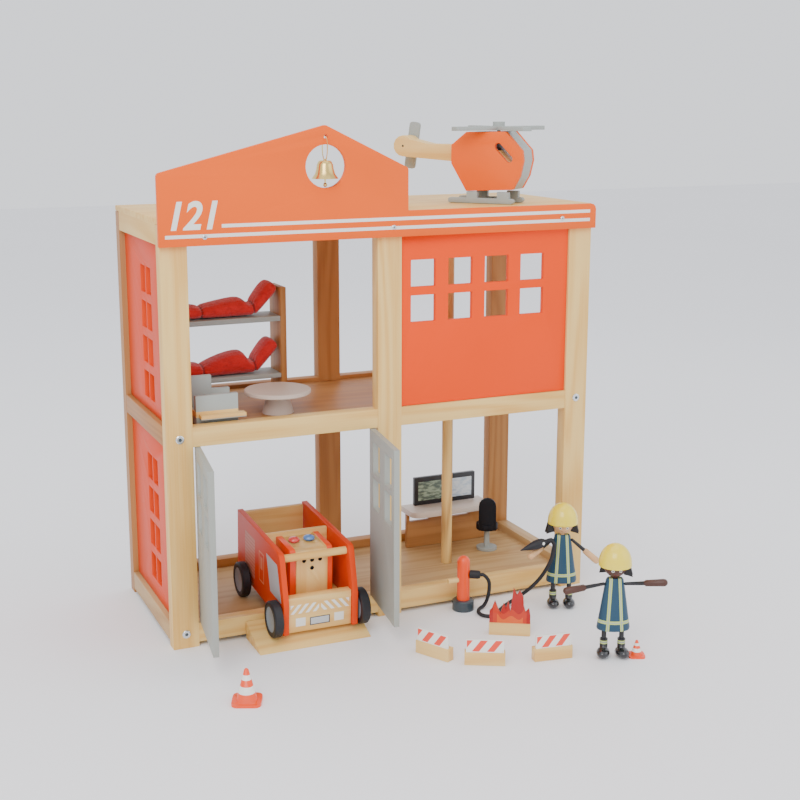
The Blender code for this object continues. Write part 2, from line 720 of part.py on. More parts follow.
def engine_sound_block():
    """Lift-out block with four sound holes, two button wells and a hooked cheek on each side."""
    bottom = DECK_TOP + FIT
    back = -DIVIDER_AT - FIT
    front = -BLOCK_FRONT
    section = [(front, bottom), (back, bottom), (back, BLOCK_TOP),
               (front + BLOCK_SLOPE, BLOCK_TOP), (front, BLOCK_TOP - BLOCK_SLOPE)]
    block = part("engine_sound_block", "pine", slab(section, BLOCK_W, SIDE), ENGINE_PLACE)
    lip = front + CHEEK_SETBACK
    top = BLOCK_TOP + CHEEK_RISE
    hook = filleted([
        (lip, bottom, 0), (lip + CHEEK_W, bottom, 0), (lip + CHEEK_W, top - CHEEK_W, CHEEK_R),
        (back, top - CHEEK_W, 0), (back, top, CHEEK_R / 2), (lip, top, CHEEK_R),
    ])
    for way in (-1, 1):
        fuse(block, slab(hook, CHEEK_T + FIT, SIDE, (way * (BLOCK_W + CHEEK_T - FIT) / 2, 0, 0)))
    spots = [(step * SOUND_HOLE_PITCH, SOUND_HOLE_Z) for step in (-1, 0, 1)]
    spots.append((0, SOUND_HOLE_Z - SOUND_HOLE_PITCH))
    for x, z in spots:
        cut(block, rod((x, front - OVERRUN, z), (x, front + SOUND_HOLE_DEPTH, z), SOUND_HOLE_R,
                       sides=SMALL_ROUND))
    for x in BUTTON_XS.values():
        floor = BLOCK_TOP - BUTTON_STEM_L - BUTTON_TRAVEL
        cut(block, rod((x, BUTTON_Y, floor), (x, BUTTON_Y, BLOCK_TOP + OVERRUN),
                       BUTTON_STEM_R + FIT * 2, sides=16))


def engine_buttons():
    """Two domed push buttons whose stems stand in the block's wells."""
    under = BUTTON_TRAVEL + FIT
    for name, finish in (("engine_button_red", "red_paint"), ("engine_button_blue", "blue_paint")):
        dome = arc((0, under + BUTTON_CAP_H / 3), (BUTTON_CAP_R, BUTTON_CAP_H * 2 / 3), 90, 0, 4)
        dome[0] = (0, dome[0][1])
        profile = dome + [(BUTTON_CAP_R, under), (BUTTON_STEM_R, under),
                          (BUTTON_STEM_R, -BUTTON_STEM_L + FIT), (0, -BUTTON_STEM_L + FIT)]
        place = ENGINE_PLACE @ Matrix.Translation((BUTTON_XS[name], BUTTON_Y, BLOCK_TOP))
        part(name, finish, turned(profile, 16), place)


HELI_PLACE = (Matrix.Translation((*HELI_AT, ROOF_Z + FIT))
              @ Matrix.Rotation(math.radians(HELI_YAW), 4, "Z"))
HELI_TOP = HELI_BODY_Z + HELI_BODY_H


def heli_outline():
    """Eight-sided side view of the helicopter's body."""
    shares = [(-0.281, 0), (0.36, 0.04), (0.455, 0.26), (0.50, 0.52), (0.483, 0.69), (0.26, 1),
              (-0.287, 0.99), (-0.494, 0.77), (-0.494, 0.46)]
    return [(HELI_BODY_X + x * HELI_BODY_L, HELI_BODY_Z + z * HELI_BODY_H) for x, z in shares]


def heli_slot():
    """Slanted finger slot with round ends."""
    (x0, z0), (x1, z1) = HELI_SLOT
    lean = math.degrees(math.atan2(z1 - z0, x1 - x0))
    radii = (HELI_SLOT_R, HELI_SLOT_R)
    return arc((x0, z0), radii, lean + 90, lean + 270, 6) + arc((x1, z1), radii, lean - 90, lean + 90, 6)


def helicopter_body():
    """A thick core with the tail boom between two thin plates; the slot goes through all three."""
    core = part("helicopter_core", "pine", slab(heli_outline(), HELI_CORE_T, FRONT), HELI_PLACE)
    end_x, end_z = BOOM_END
    low, high = BOOM_ROOT
    boom = [(HELI_BODY_X, low), (HELI_BODY_X, high), (BOOM_WAIST_X, high)]
    boom += arc(BOOM_END, (BOOM_END_R, BOOM_END_R), 40, 270, 9)
    fuse(core, slab(boom, HELI_CORE_T - 2 * FIT, FRONT))
    cut(core, slab(heli_slot(), HELI_CORE_T + OVERRUN, FRONT))
    cut(core, rod((MAIN_ROTOR_X, 0, HELI_TOP - SHAFT_L - FIT), (MAIN_ROTOR_X, 0, HELI_TOP + OVERRUN),
                  SHAFT_HOLE_R, sides=SMALL_ROUND))
    face = HELI_CORE_T / 2
    cut(core, rod((end_x, face - SHAFT_L - FIT, end_z), (end_x, face + OVERRUN, end_z),
                  SHAFT_HOLE_R, sides=SMALL_ROUND))
    offset = HELI_CORE_T / 2 + FIT + HELI_PLATE_T / 2
    for name, way in (("helicopter_plate_near", -1), ("helicopter_plate_far", 1)):
        part(name, "orange_paint",
             slab(heli_outline(), HELI_PLATE_T, FRONT, (0, way * offset, 0), [heli_slot()]), HELI_PLACE)


def blade(length, width, thickness, facing=FLAT, at=(0, 0, 0)):
    """Rotor blade with rounded corners."""
    corner = width / 4
    outline = filleted([(-length / 2, -width / 2, corner), (length / 2, -width / 2, corner),
                        (length / 2, width / 2, corner), (-length / 2, width / 2, corner)], 2)
    return slab(outline, thickness, facing, at)


def helicopter_rotors():
    """Crossed main blades with a hub on a shaft, and one tail blade with its own shaft."""
    middle = ROTOR_GAP + ROTOR_T / 2
    main = part("helicopter_main_rotor", "grey_paint",
                blade(MAIN_ROTOR_L, MAIN_ROTOR_W, ROTOR_T, FLAT, (0, 0, middle)),
                HELI_PLACE @ Matrix.Translation((MAIN_ROTOR_X, 0, HELI_TOP))
                @ Matrix.Rotation(math.radians(MAIN_ROTOR_YAW - HELI_YAW), 4, "Z"))
    crossed = Matrix.Rotation(math.radians(90), 4, "Z")
    fuse(main, blade(MAIN_ROTOR_L, MAIN_ROTOR_W, ROTOR_T, crossed, (0, 0, middle)))
    fuse(main, rod((0, 0, middle), (0, 0, ROTOR_GAP + ROTOR_T + HUB_H), HUB_R))
    fuse(main, rod((0, 0, -SHAFT_L + FIT), (0, 0, middle), SHAFT_R, sides=SMALL_ROUND))
    upright = FRONT @ Matrix.Rotation(math.radians(90 - TAIL_ROTOR_LEAN), 4, "Z")
    away = ROTOR_GAP + TAIL_ROTOR_T / 2
    tail = part("helicopter_tail_rotor", "grey_paint",
                blade(TAIL_ROTOR_L, TAIL_ROTOR_W, TAIL_ROTOR_T, upright, (0, away, 0)),
                HELI_PLACE @ Matrix.Translation((BOOM_END[0], HELI_CORE_T / 2, BOOM_END[1])))
    fuse(tail, rod((0, -SHAFT_L + FIT, 0), (0, away, 0), SHAFT_R, sides=SMALL_ROUND))


def helicopter_skids():
    """Two runners, each with two short legs up to the body."""
    half = SKID_L / 2
    end_r = SKID_H / 2
    top = HELI_BODY_Z - FIT
    low, high = SKID_H / 2, SKID_H
    run = arc((half - end_r + SKID_X, low), (end_r, end_r), -90, 90, 4)
    for x0, x1 in reversed(SKID_LEGS):
        run += [(x1, high), (x1, top), (x0, top), (x0, high)]
    run += arc((-half + end_r + SKID_X, low), (end_r, end_r), 90, 270, 4)
    offset = HELI_CORE_T / 2 + FIT + HELI_PLATE_T / 2
    for name, way in (("helicopter_skid_near", -1), ("helicopter_skid_far", 1)):
        part(name, "grey_paint", slab(run, SKID_T, FRONT, (0, way * offset, 0)), HELI_PLACE)


# Bunk bed in the upper room
LEFT_SIDE = -WIDTH / 2
RIGHT_SIDE = WIDTH / 2
BUNK_GAP = 0.0445
BUNK_L = 0.132
BUNK_X = (LEFT_SIDE + BUNK_GAP, LEFT_SIDE + BUNK_GAP + BUNK_L)
BUNK_Y = (0.120, 0.160)
BUNK_END_T = 0.007
BUNK_TOP = 0.3617
SHELVES = {"upper": (0.329, 0.006), "lower": (0.262, 0.005)}
MATS = {"upper": (0.0387, 1.0), "lower": (0.0395, 1.22)}
MAT_INSET = 0.0010

# Armchair and round table in the upper room
CHAIR_GAP = 0.038
CHAIR_W = 0.046
CHAIR_X = (LEFT_SIDE + CHAIR_GAP, LEFT_SIDE + CHAIR_GAP + CHAIR_W)
CHAIR_Y = (0.014, 0.050)
CHAIR_PANEL_T = 0.006
CHAIR_ARM_Z = 0.268
CHAIR_BACK_Z = 0.283
CHAIR_BACK_W = 0.026
CHAIR_SEAT_H = 0.014
LEDGE_DEPTH = 0.010
LEDGE_OVERHANG = 0.006
LEDGE_Z = (0.244, 0.2485)
TABLE_GAP = 0.137
TABLE_Y = 0.040
TABLE_AT = (LEFT_SIDE + TABLE_GAP, TABLE_Y)
TABLE_TOP_Z = 0.2625
TABLE_TOP_T = 0.0048
TABLE_TOP_R = 0.0365
TABLE_FOOT_R = 0.0175
TABLE_NECK_R = 0.0115

# Desk, screens and swivel chair in the lower room
DESK_GAP = 0.048
DESK_L = 0.110
DESK_X = (RIGHT_SIDE - DESK_GAP - DESK_L, RIGHT_SIDE - DESK_GAP)
DESK_Y = (0.128, 0.168)
DESK_Z = 0.067
DESK_T = 0.007
DESK_CORNER_R = 0.012
DESK_PANEL_Y = 0.152
DESK_PANEL_T = 0.006
DESK_NOTCH_STARTS = (0.004, 0.058)
DESK_NOTCH_WIDTHS = (0.0275, 0.029)
DESK_NOTCH_H = 0.010
SCREEN_INSET = 0.010
SCREEN_L = 0.085
SCREEN_X = (DESK_X[1] - SCREEN_INSET - SCREEN_L, DESK_X[1] - SCREEN_INSET)
SCREEN_Y = 0.161
SCREEN_T = 0.006
SCREEN_H = 0.036
SWIVEL_GAP = 0.066
SWIVEL_Y = 0.108
SWIVEL_AT = (RIGHT_SIDE - SWIVEL_GAP, SWIVEL_Y)
SWIVEL_YAW = -25
SWIVEL_BASE_R = 0.013
SWIVEL_BASE_H = 0.003
SWIVEL_POST_R = 0.0035
SWIVEL_POST_TOP = 0.047
SEAT_Z = 0.043
SEAT_T = 0.007
SEAT_R = 0.0135
SEAT_BACK_W = 0.0215
SEAT_BACK_T = 0.0045
SEAT_BACK_TOP = 0.085



def bunk_bed():
    """Two end boards with two shelves between them."""
    low_y, high_y = BUNK_Y
    inner = (BUNK_X[0] + BUNK_END_T, BUNK_X[1] - BUNK_END_T)
    foot = HIGH_FLOOR_Z + FIT
    part("bunk_end_left", "pine", box((BUNK_X[0], low_y, foot), (inner[0], high_y, BUNK_TOP)))
    part("bunk_end_right", "pine", box((inner[1], low_y, foot), (BUNK_X[1], high_y, BUNK_TOP)))
    for word, (top, thick) in SHELVES.items():
        part("bunk_shelf_" + word, "grey_paint",
             box((inner[0] + FIT, low_y, top - thick), (inner[1] - FIT, high_y, top)))


def bunk_mats():
    """Quilted mats with a sewn foot channel, raised knees and a head end that leans up."""
    # Each station: bottom along, bottom rise, top along, top rise and whether the knee lifts it
    station_shares = [
        (0.015, 0.10, 0.015, 0.32, 0), (0.035, 0.00, 0.035, 0.42, 0), (0.11, 0.00, 0.11, 0.44, 0),
        (0.20, 0.00, 0.20, 0.41, 0), (0.23, 0.03, 0.23, 0.34, 0), (0.26, 0.00, 0.26, 0.41, 0),
        (0.42, 0.00, 0.41, 0.50, 1), (0.60, 0.00, 0.59, 0.59, 1), (0.69, 0.00, 0.655, 0.55, 1),
        (0.755, 0.02, 0.715, 0.31, 0), (0.79, 0.05, 0.74, 0.46, 0), (0.88, 0.32, 0.815, 0.80, 0),
        (0.965, 0.60, 0.88, 1.02, 0), (0.985, 0.68, 0.93, 1.03, 0), (0.985, 0.76, 0.975, 0.93, 0),
    ]
    ring_shares = [(-0.40, 0), (0, 0), (0.40, 0), (0.50, 0.5), (0.40, 0.94), (0, 1.06),
                   (-0.40, 0.94), (-0.50, 0.5)]
    length = BUNK_X[1] - BUNK_X[0] - 2 * BUNK_END_T
    depth = BUNK_Y[1] - BUNK_Y[0] - 2 * MAT_INSET
    middle = (BUNK_Y[0] + BUNK_Y[1]) / 2
    for word, (rise, knee) in MATS.items():
        start = Vector((BUNK_X[0] + BUNK_END_T, middle, SHELVES[word][0] + FIT))
        bm = bmesh.new()
        rings = []
        for x0, z0, x1, z1, lifted in station_shares:
            z1 = z1 * (knee if lifted else 1)
            ring = []
            for across, up in ring_shares:
                along = x0 + (x1 - x0) * up
                height = z0 + (z1 - z0) * up
                ring.append(bm.verts.new(start + Vector((along * length, across * depth, height * rise))))
            rings.append(ring)
        for here, there in zip(rings, rings[1:]):
            for index in range(len(here)):
                after = (index + 1) % len(here)
                bm.faces.new((here[index], there[index], there[after], here[after]))
        bm.faces.new(rings[0])
        bm.faces.new(rings[-1][::-1])
        bmesh.ops.recalc_face_normals(bm, faces=bm.faces)
        mat = part("bunk_bedding_" + word, "red_cloth", mesh_from(bm, "mat"))
        rounder = mat.modifiers.new("Subdivision", "SUBSURF")
        rounder.levels = 1
        rounder.render_levels = 1


def armchair():
    """Boxy armchair with two side panels, a raised back corner and a ledge in front."""
    foot = HIGH_FLOOR_Z + FIT
    x0, x1 = CHAIR_X
    y0, y1 = CHAIR_Y
    chair = part("armchair", "grey_paint", box((x0, y0, foot), (x1, y0 + CHAIR_PANEL_T, CHAIR_ARM_Z)))
    fuse(chair, box((x0, y0 + CHAIR_PANEL_T / 2, foot), (x1, y1 - CHAIR_PANEL_T / 2, foot + CHAIR_SEAT_H)))
    fuse(chair, box((x0, y1 - CHAIR_PANEL_T, foot), (x1, y1, CHAIR_ARM_Z)))
    fuse(chair, box((x0, y1 - CHAIR_PANEL_T, CHAIR_ARM_Z - FIT), (x0 + CHAIR_BACK_W, y1, CHAIR_BACK_Z)))
    ledge_x = x0 + LEDGE_OVERHANG / 2
    fuse(chair, box((ledge_x, y0 - LEDGE_DEPTH, LEDGE_Z[0]), (x1 + LEDGE_OVERHANG, y0 + FIT, LEDGE_Z[1])))


def round_table():
    """Round top on a foot that flares to the floor."""
    top = TABLE_TOP_Z
    under = top - TABLE_TOP_T
    edge = TABLE_TOP_T / 5
    foot = HIGH_FLOOR_Z + FIT
    profile = [
        (0, top), (TABLE_TOP_R - edge, top), (TABLE_TOP_R, top - edge), (TABLE_TOP_R, under + edge),
        (TABLE_TOP_R - edge, under), (TABLE_NECK_R, under), (TABLE_FOOT_R, foot), (0, foot),
    ]
    part("round_table", "grey_paint", turned(profile, 32, (*TABLE_AT, 0)))


def desk():
    """Desk top with rounded corners over an upright board that is notched below it."""
    x0, x1 = DESK_X
    foot = LOW_FLOOR_Z + FIT
    under = DESK_Z - DESK_T
    plan = filleted([(x0, DESK_Y[0], DESK_CORNER_R), (x1, DESK_Y[0], DESK_CORNER_R),
                     (x1, DESK_Y[1], 0), (x0, DESK_Y[1], 0)], 4)
    top = part("desk", "grey_paint", slab(plan, DESK_T, FLAT, (0, 0, DESK_Z - DESK_T / 2)))
    upright = [(x0 + FIT, foot), (x1 - FIT, foot), (x1 - FIT, DESK_Z - DESK_T / 2)]
    for start, width in reversed(list(zip(DESK_NOTCH_STARTS, DESK_NOTCH_WIDTHS))):
        left, right = x0 + start, x0 + start + width
        upright += [(right, DESK_Z - DESK_T / 2), (right, under - DESK_NOTCH_H),
                    (left, under - DESK_NOTCH_H), (left, DESK_Z - DESK_T / 2)]
    upright.append((x0 + FIT, DESK_Z - DESK_T / 2))
    fuse(top, slab(upright, DESK_PANEL_T, FRONT, (0, DESK_PANEL_Y, 0)))
    part("monitor_board", "black_paint",
         box((SCREEN_X[0], SCREEN_Y - SCREEN_T / 2, DESK_Z + FIT),
             (SCREEN_X[1], SCREEN_Y + SCREEN_T / 2, DESK_Z + FIT + SCREEN_H)))


def swivel_chair():
    """Round foot and post, and a round seat with an arched back that turns on the post."""
    foot = LOW_FLOOR_Z + FIT
    step = foot + SWIVEL_BASE_H
    profile = [(0, SWIVEL_POST_TOP), (SWIVEL_POST_R, SWIVEL_POST_TOP), (SWIVEL_POST_R, step),
               (SWIVEL_BASE_R, step), (SWIVEL_BASE_R, foot), (0, foot)]
    part("swivel_stand", "grey_paint", turned(profile, ROUND, (*SWIVEL_AT, 0)))
    place = Matrix.Translation((*SWIVEL_AT, 0)) @ Matrix.Rotation(math.radians(SWIVEL_YAW), 4, "Z")
    seat = part("swivel_seat", "black_paint",
                rod((0, 0, SEAT_Z), (0, 0, SEAT_Z + SEAT_T), SEAT_R), place)
    half = SEAT_BACK_W / 2
    arch = [(-half, SEAT_Z + FIT)] + [(half, SEAT_Z + FIT)]
    arch += arc((0, SEAT_BACK_TOP - half), (half, half), 0, 180, 8)
    fuse(seat, slab(arch, SEAT_BACK_T, FRONT, (0, -SEAT_R + SEAT_BACK_T, 0)))
    cut(seat, rod((0, 0, SEAT_Z - OVERRUN), (0, 0, SWIVEL_POST_TOP + FIT),
                  SWIVEL_POST_R + FIT * 1.5, sides=ROUND))


# Hydrant, hose and nozzle on the ground in front of the lower room
HYDRANT_AT = (0.084, -0.025)
HYDRANT_BASE_R = 0.0125
HYDRANT_BASE_H = 0.012
HYDRANT_R = 0.0073
HYDRANT_TOP = 0.064
OUTLET_R = 0.003
OUTLET_Z = 0.036
OUTLET_REACH = 0.0195
COUPLING_Z = 0.0425
COUPLING_YAW = -35
COUPLING_R = 0.0048
COUPLING_LIP_R = 0.0040
COUPLING_L = 0.0115
HOSE_R = 0.0021
HOSE_STEP = 0.0055
NOZZLE_START = (0.1650, -0.0700, 0.0845)
NOZZLE_TIP = (0.1320, -0.0700, 0.0780)
NOZZLE_R = 0.0055
NOZZLE_TIP_R = 0.0007

# Flame board and barriers
TOY_BLOCK_D = 0.010
FLAME_AT = (0.076, -0.103)
FLAME_YAW = -30
FLAME_BLOCK_W = 0.0448
FLAME_BLOCK_H = 0.0135
FLAME_H = 0.040
FLAME_T = 0.0045
FLAME_SETBACK = 0.0020
BARRIERS = {"left": (-0.017, -0.114, -62), "mid": (0.0156, -0.1635, -27), "right": (0.086, -0.186, -8)}
BARRIER_W = 0.042
BARRIER_BLOCK_H = 0.014
BARRIER_BOARD_W = 0.039
BARRIER_BOARD_T = 0.003
BARRIER_TOP = 0.028
BARRIER_SETBACK = 0.0010

# Traffic cones: place, base width, base height, foot radius, tip radius and height
CONES = {
    "left": ((-0.216, -0.1555), 0.0290, 0.0030, 0.0105, 0.0024, 0.035),
    "right": ((0.1915, -0.214), 0.0170, 0.0020, 0.0062, 0.0016, 0.018),
}

# Bendy dolls
DOLL_YAW = -23
DOLLS = {"a": (0.1905, -0.062), "b": (0.168, -0.204)}
DOLL_FEET = {"a": (0.0092, 0), "b": (0.0092, 28)}
BOOT_RADII = (0.0072, 0.0110, 0.0055)
BOOT_FORWARD = 0.0030
ANKLE_R = 0.0042
ANKLE_TOP = 0.0200
LEG_R = 0.0026
COAT_BOTTOM = 0.031
COAT_TOP = 0.0868
COAT_BOTTOM_R = 0.0175
COAT_FLAT = 0.62
HEAD_R = 0.0120
HEAD_Z = 0.1000
NECK_R = 0.0035
HELMET_R = 0.0172
HELMET_TOP = 0.124
HELMET_RIM = 0.1025
HELMET_RIM_T = 0.0020
HAIR_R = 0.0165
HAIR_TIP = (0.0185, 0.0045, 0.0880)
SHOULDER_X = 0.0113
SHOULDER_Z = 0.0800
ARM_R = 0.0022
ARM_CORD_L = 0.0190
ARM_L = 0.0430
HAND_R = 0.0040
HAND_START_R = 0.0034
# Each arm's turn towards the front and its drop below level, in degrees
ARM_POSES = {
    ("a", "left"): (44, 15), ("a", "right"): (-8, 42),
    ("b", "left"): (4, 10), ("b", "right"): (12, -6),
}

COUPLING_START = HYDRANT_R + FIT


def yaw_place(x, y, z, degrees):
    return Matrix.Translation((x, y, z)) @ Matrix.Rotation(math.radians(degrees), 4, "Z")


def hydrant():
    """Domed post on a round foot, with a short outlet stub on its left."""
    top = HYDRANT_TOP - HYDRANT_R
    edge = HYDRANT_BASE_H / 10
    dome = arc((0, top), (HYDRANT_R, HYDRANT_R), 90, 0, 5)
    dome[0] = (0, HYDRANT_TOP)
    profile = dome + [(HYDRANT_R, HYDRANT_BASE_H), (HYDRANT_BASE_R - edge, HYDRANT_BASE_H),
                      (HYDRANT_BASE_R, HYDRANT_BASE_H - edge), (HYDRANT_BASE_R, 0), (0, 0)]
    post = part("hydrant", "orange_paint", turned(profile, ROUND),
                Matrix.Translation((*HYDRANT_AT, 0)))
    fuse(post, rod((-OUTLET_REACH, 0, OUTLET_Z), (0, 0, OUTLET_Z), OUTLET_R, sides=SMALL_ROUND))


def hose_coupling():
    """Round coupling on the hydrant's side; the hose starts at its outer face."""
    profile = [(0, COUPLING_L), (COUPLING_LIP_R, COUPLING_L), (COUPLING_R, COUPLING_L * 0.8),
               (COUPLING_R, 0), (0, 0)]
    mesh = turned(profile, ROUND, (0, 0, COUPLING_START))
    mesh.transform(Matrix.Rotation(math.radians(90), 4, "Y"))
    part("hose_coupling", "black_rubber", mesh,
         yaw_place(*HYDRANT_AT, COUPLING_Z, COUPLING_YAW))


def hose():
    """Hose from the coupling down to the ground, through a bend and up to the nozzle."""
    reach = COUPLING_START + COUPLING_L + FIT
    aim = Vector((math.cos(math.radians(COUPLING_YAW)), math.sin(math.radians(COUPLING_YAW)), 0))
    start = Vector((*HYDRANT_AT, COUPLING_Z)) + aim * reach
    back = (Vector(NOZZLE_START) - Vector(NOZZLE_TIP)).normalized()
    end = Vector(NOZZLE_START) + back * FIT
    ground = HOSE_R + FIT
    route = [
        start, start + aim * HOSE_R * 2,
        (0.1085, -0.0405, 0.0350), (0.1100, -0.0385, 0.0230), (0.1098, -0.0345, 0.0110),
        (0.1060, -0.0335, 0.0035), (0.0985, -0.0375, ground), (0.0925, -0.0470, ground),
        (0.0935, -0.0575, ground), (0.1020, -0.0630, ground), (0.1115, -0.0585, ground),
        (0.1210, -0.0475, ground), (0.1320, -0.0390, ground), (0.1430, -0.0370, 0.0060),
        (0.1510, -0.0445, 0.0150), (0.1570, -0.0545, 0.0265), (0.1630, -0.0635, 0.0400),
        (0.1685, -0.0690, 0.0540), (0.1735, -0.0705, 0.0665), (0.1755, -0.0700, 0.0775),
        (0.1715, -0.0700, 0.0850), end + back * HOSE_R * 2, end,
    ]
    part("hose", "black_rubber", tube(smooth_route(route, HOSE_STEP), HOSE_R))


def hose_nozzle():
    """Leaf-shaped nozzle that swells from the hose and tapers to a narrow tip."""
    run = Vector(NOZZLE_TIP) - Vector(NOZZLE_START)
    swell_shares = [(0.30, 0.86), (0.78, 0.55), (1, 0.33), (0.89, 0.16), (0.47, 0.05), (0.39, 0)]
    profile = [(0, run.length), (NOZZLE_TIP_R, run.length)]
    profile += [(radius * NOZZLE_R, along * run.length) for radius, along in swell_shares]
    profile += [(0, 0)]
    turn = run.to_track_quat("Z", "Y").to_matrix().to_4x4()
    part("hose_nozzle", "black_rubber", turned(profile, 16),
         Matrix.Translation(NOZZLE_START) @ turn)


def flame_board():
    """Jagged flame plate fused into the top of its block."""
    tongue_shares = [
        (1, 0), (1, 0.22), (0.96, 0.43), (0.88, 0.32), (0.83, 0.50), (0.82, 0.75), (0.73, 0.92),
        (0.66, 0.80), (0.58, 1), (0.51, 0.33), (0.46, 0.64), (0.40, 0.42), (0.345, 0.55),
        (0.27, 0.27), (0.21, 0.40), (0.135, 0.61), (0.06, 0.38), (0, 0.32), (0, 0),
    ]
    top = FLAME_BLOCK_H
    outline = [(x * FLAME_BLOCK_W, top + z * FLAME_H) for x, z in tongue_shares[1:-1]]
    outline += [(0, top / 2), (FLAME_BLOCK_W, top / 2)]
    inset = [(min(max(x, FIT), FLAME_BLOCK_W - FIT), z) for x, z in outline]
    board = part("flame_board", "red_paint", box((0, 0, 0), (FLAME_BLOCK_W, TOY_BLOCK_D, top)),
                 yaw_place(*FLAME_AT, 0, FLAME_YAW))
    fuse(board, slab(inset, FLAME_T, FRONT, (0, FLAME_SETBACK + FLAME_T / 2, 0)))


def barriers():
    """Three low blocks, each with a thin striped board standing on it."""
    for word, (x, y, yaw) in BARRIERS.items():
        barrier = part("barrier_" + word, "pine",
                       box((0, 0, 0), (BARRIER_W, TOY_BLOCK_D, BARRIER_BLOCK_H)), yaw_place(x, y, 0, yaw))
        margin = (BARRIER_W - BARRIER_BOARD_W) / 2
        fuse(barrier, box((margin, BARRIER_SETBACK, BARRIER_BLOCK_H / 2),
                          (BARRIER_W - margin, BARRIER_SETBACK + BARRIER_BOARD_T, BARRIER_TOP)))


def cones():
    """Traffic cones with a round-cornered square base and a blunt tip."""
    for word, ((x, y), width, base_h, foot_r, tip_r, height) in CONES.items():
        half = width / 2
        corner = width / 5
        square = filleted([(-half, -half, corner), (half, -half, corner), (half, half, corner),
                           (-half, half, corner)])
        cone = part("cone_" + word, "orange_paint", slab(square, base_h, FLAT, (0, 0, base_h / 2)),
                    yaw_place(x, y, 0, DOLL_YAW))
        tip = arc((0, height - tip_r), (tip_r, tip_r), 90, 0, 3)
        tip[0] = (0, height)
        fuse(cone, turned(tip + [(foot_r, base_h * 0.9), (foot_r, base_h / 2), (0, base_h / 2)], ROUND))


def doll_place(who):
    return yaw_place(*DOLLS[who], 0, DOLL_YAW)


def doll_body(who):
    """Coat of oval section on two thin legs with rounded boots."""
    height = COAT_TOP - COAT_BOTTOM
    shares = [(0, 1), (0.45, 1), (0.52, 0.97), (0.60, 0.85), (0.72, 0.60), (0.86, 0.30), (1, 0.04),
              (0.97, 0), (0, 0)]
    profile = [(radius * COAT_BOTTOM_R, COAT_BOTTOM + up * height) for radius, up in shares]
    coat = turned(profile, ROUND)
    coat.transform(Matrix.Diagonal((1, COAT_FLAT, 1, 1)))
    body = part("figure_" + who + "_body", "teal_felt", coat, doll_place(who))
    spread, splay = DOLL_FEET[who]
    for way in (-1, 1):
        turn = math.radians(way * splay / 2)
        x = way * spread
        fuse(body, rod((x, 0, BOOT_RADII[2]), (x, 0, COAT_BOTTOM + OVERRUN), LEG_R, sides=SMALL_ROUND))
        fuse(body, rod((x, 0, BOOT_RADII[2]), (x, 0, ANKLE_TOP), ANKLE_R, sides=SMALL_ROUND))
        shoe = ball((0, 0, 0), BOOT_RADII)
        ahead = Matrix.Translation((0, -BOOT_FORWARD, 0))
        shoe.transform(Matrix.Translation((x, 0, BOOT_RADII[2])) @ Matrix.Rotation(turn, 4, "Z") @ ahead)
        fuse(body, shoe)
    cut(body, box((-COAT_BOTTOM_R, -COAT_BOTTOM_R, -OVERRUN), (COAT_BOTTOM_R, COAT_BOTTOM_R, FIT)))


def doll_head(who, hair_sides):
    """Round head on a short neck, under a domed helmet with a rim and with pointed hair."""
    place = doll_place(who)
    head = part("figure_" + who + "_head", "yellow_paint",
                rod((0, 0, COAT_TOP + FIT), (0, 0, HEAD_Z), NECK_R, sides=SMALL_ROUND), place)
    fuse(head, ball((0, 0, HEAD_Z), (HEAD_R,) * 3, 16, 10))
    dome = arc((0, HELMET_RIM), (HELMET_R, HELMET_TOP - HELMET_RIM), 90, 0, 6)
    dome[0] = (0, HELMET_TOP)
    rim = [(HELMET_R, HELMET_RIM - HELMET_RIM_T), (0, HELMET_RIM - HELMET_RIM_T)]
    fuse(head, turned(dome + rim, ROUND))
    tip_x, tip_y, tip_z = HAIR_TIP
    for way in hair_sides:
        root = (way * HAIR_R * 0.62, tip_y, HELMET_RIM)
        fuse(head, rod(root, (way * tip_x, tip_y, tip_z), HAIR_R * 0.36, HAIR_R * 0.08, SMALL_ROUND))


def doll_arm(who, side):
    """Thin arm from the shoulder with a rounded wooden hand."""
    way = -1 if side == "left" else 1
    forward, drop = ARM_POSES[(who, side)]
    place = (doll_place(who) @ Matrix.Translation((way * SHOULDER_X, 0, SHOULDER_Z))
             @ Matrix.Rotation(math.radians(-way * forward), 4, "Z")
             @ Matrix.Rotation(math.radians(way * drop), 4, "Y"))
    palm = arc((ARM_L - HAND_R, 0), (HAND_R, HAND_R), 0, 90, 4)
    palm[0] = (ARM_L, 0)
    profile = [(radius, reach) for reach, radius in palm]
    profile += [(HAND_START_R, ARM_CORD_L + HAND_START_R / 2), (ARM_R, ARM_CORD_L), (ARM_R, 0), (0, 0)]
    mesh = turned(profile, SMALL_ROUND)
    mesh.transform(Matrix.Rotation(math.radians(way * 90), 4, "Y"))
    part("figure_" + who + "_arm_" + side, "pine", mesh, place)


def shoulders_cleared(who):
    """Seats in the coat so that the arms start a hair's breadth inside its sides."""
    coat = bpy.data.objects["figure_" + who + "_body"]
    for way in (-1, 1):
        x = way * SHOULDER_X
        cut(coat, ball((x, 0, SHOULDER_Z), (ARM_R + 2 * FIT,) * 3))


def dolls():
    for who, hair_sides in (("a", (-1, 1)), ("b", (1,))):
        doll_body(who)
        doll_head(who, hair_sides)
        shoulders_cleared(who)
        for side in ("left", "right"):
            doll_arm(who, side)


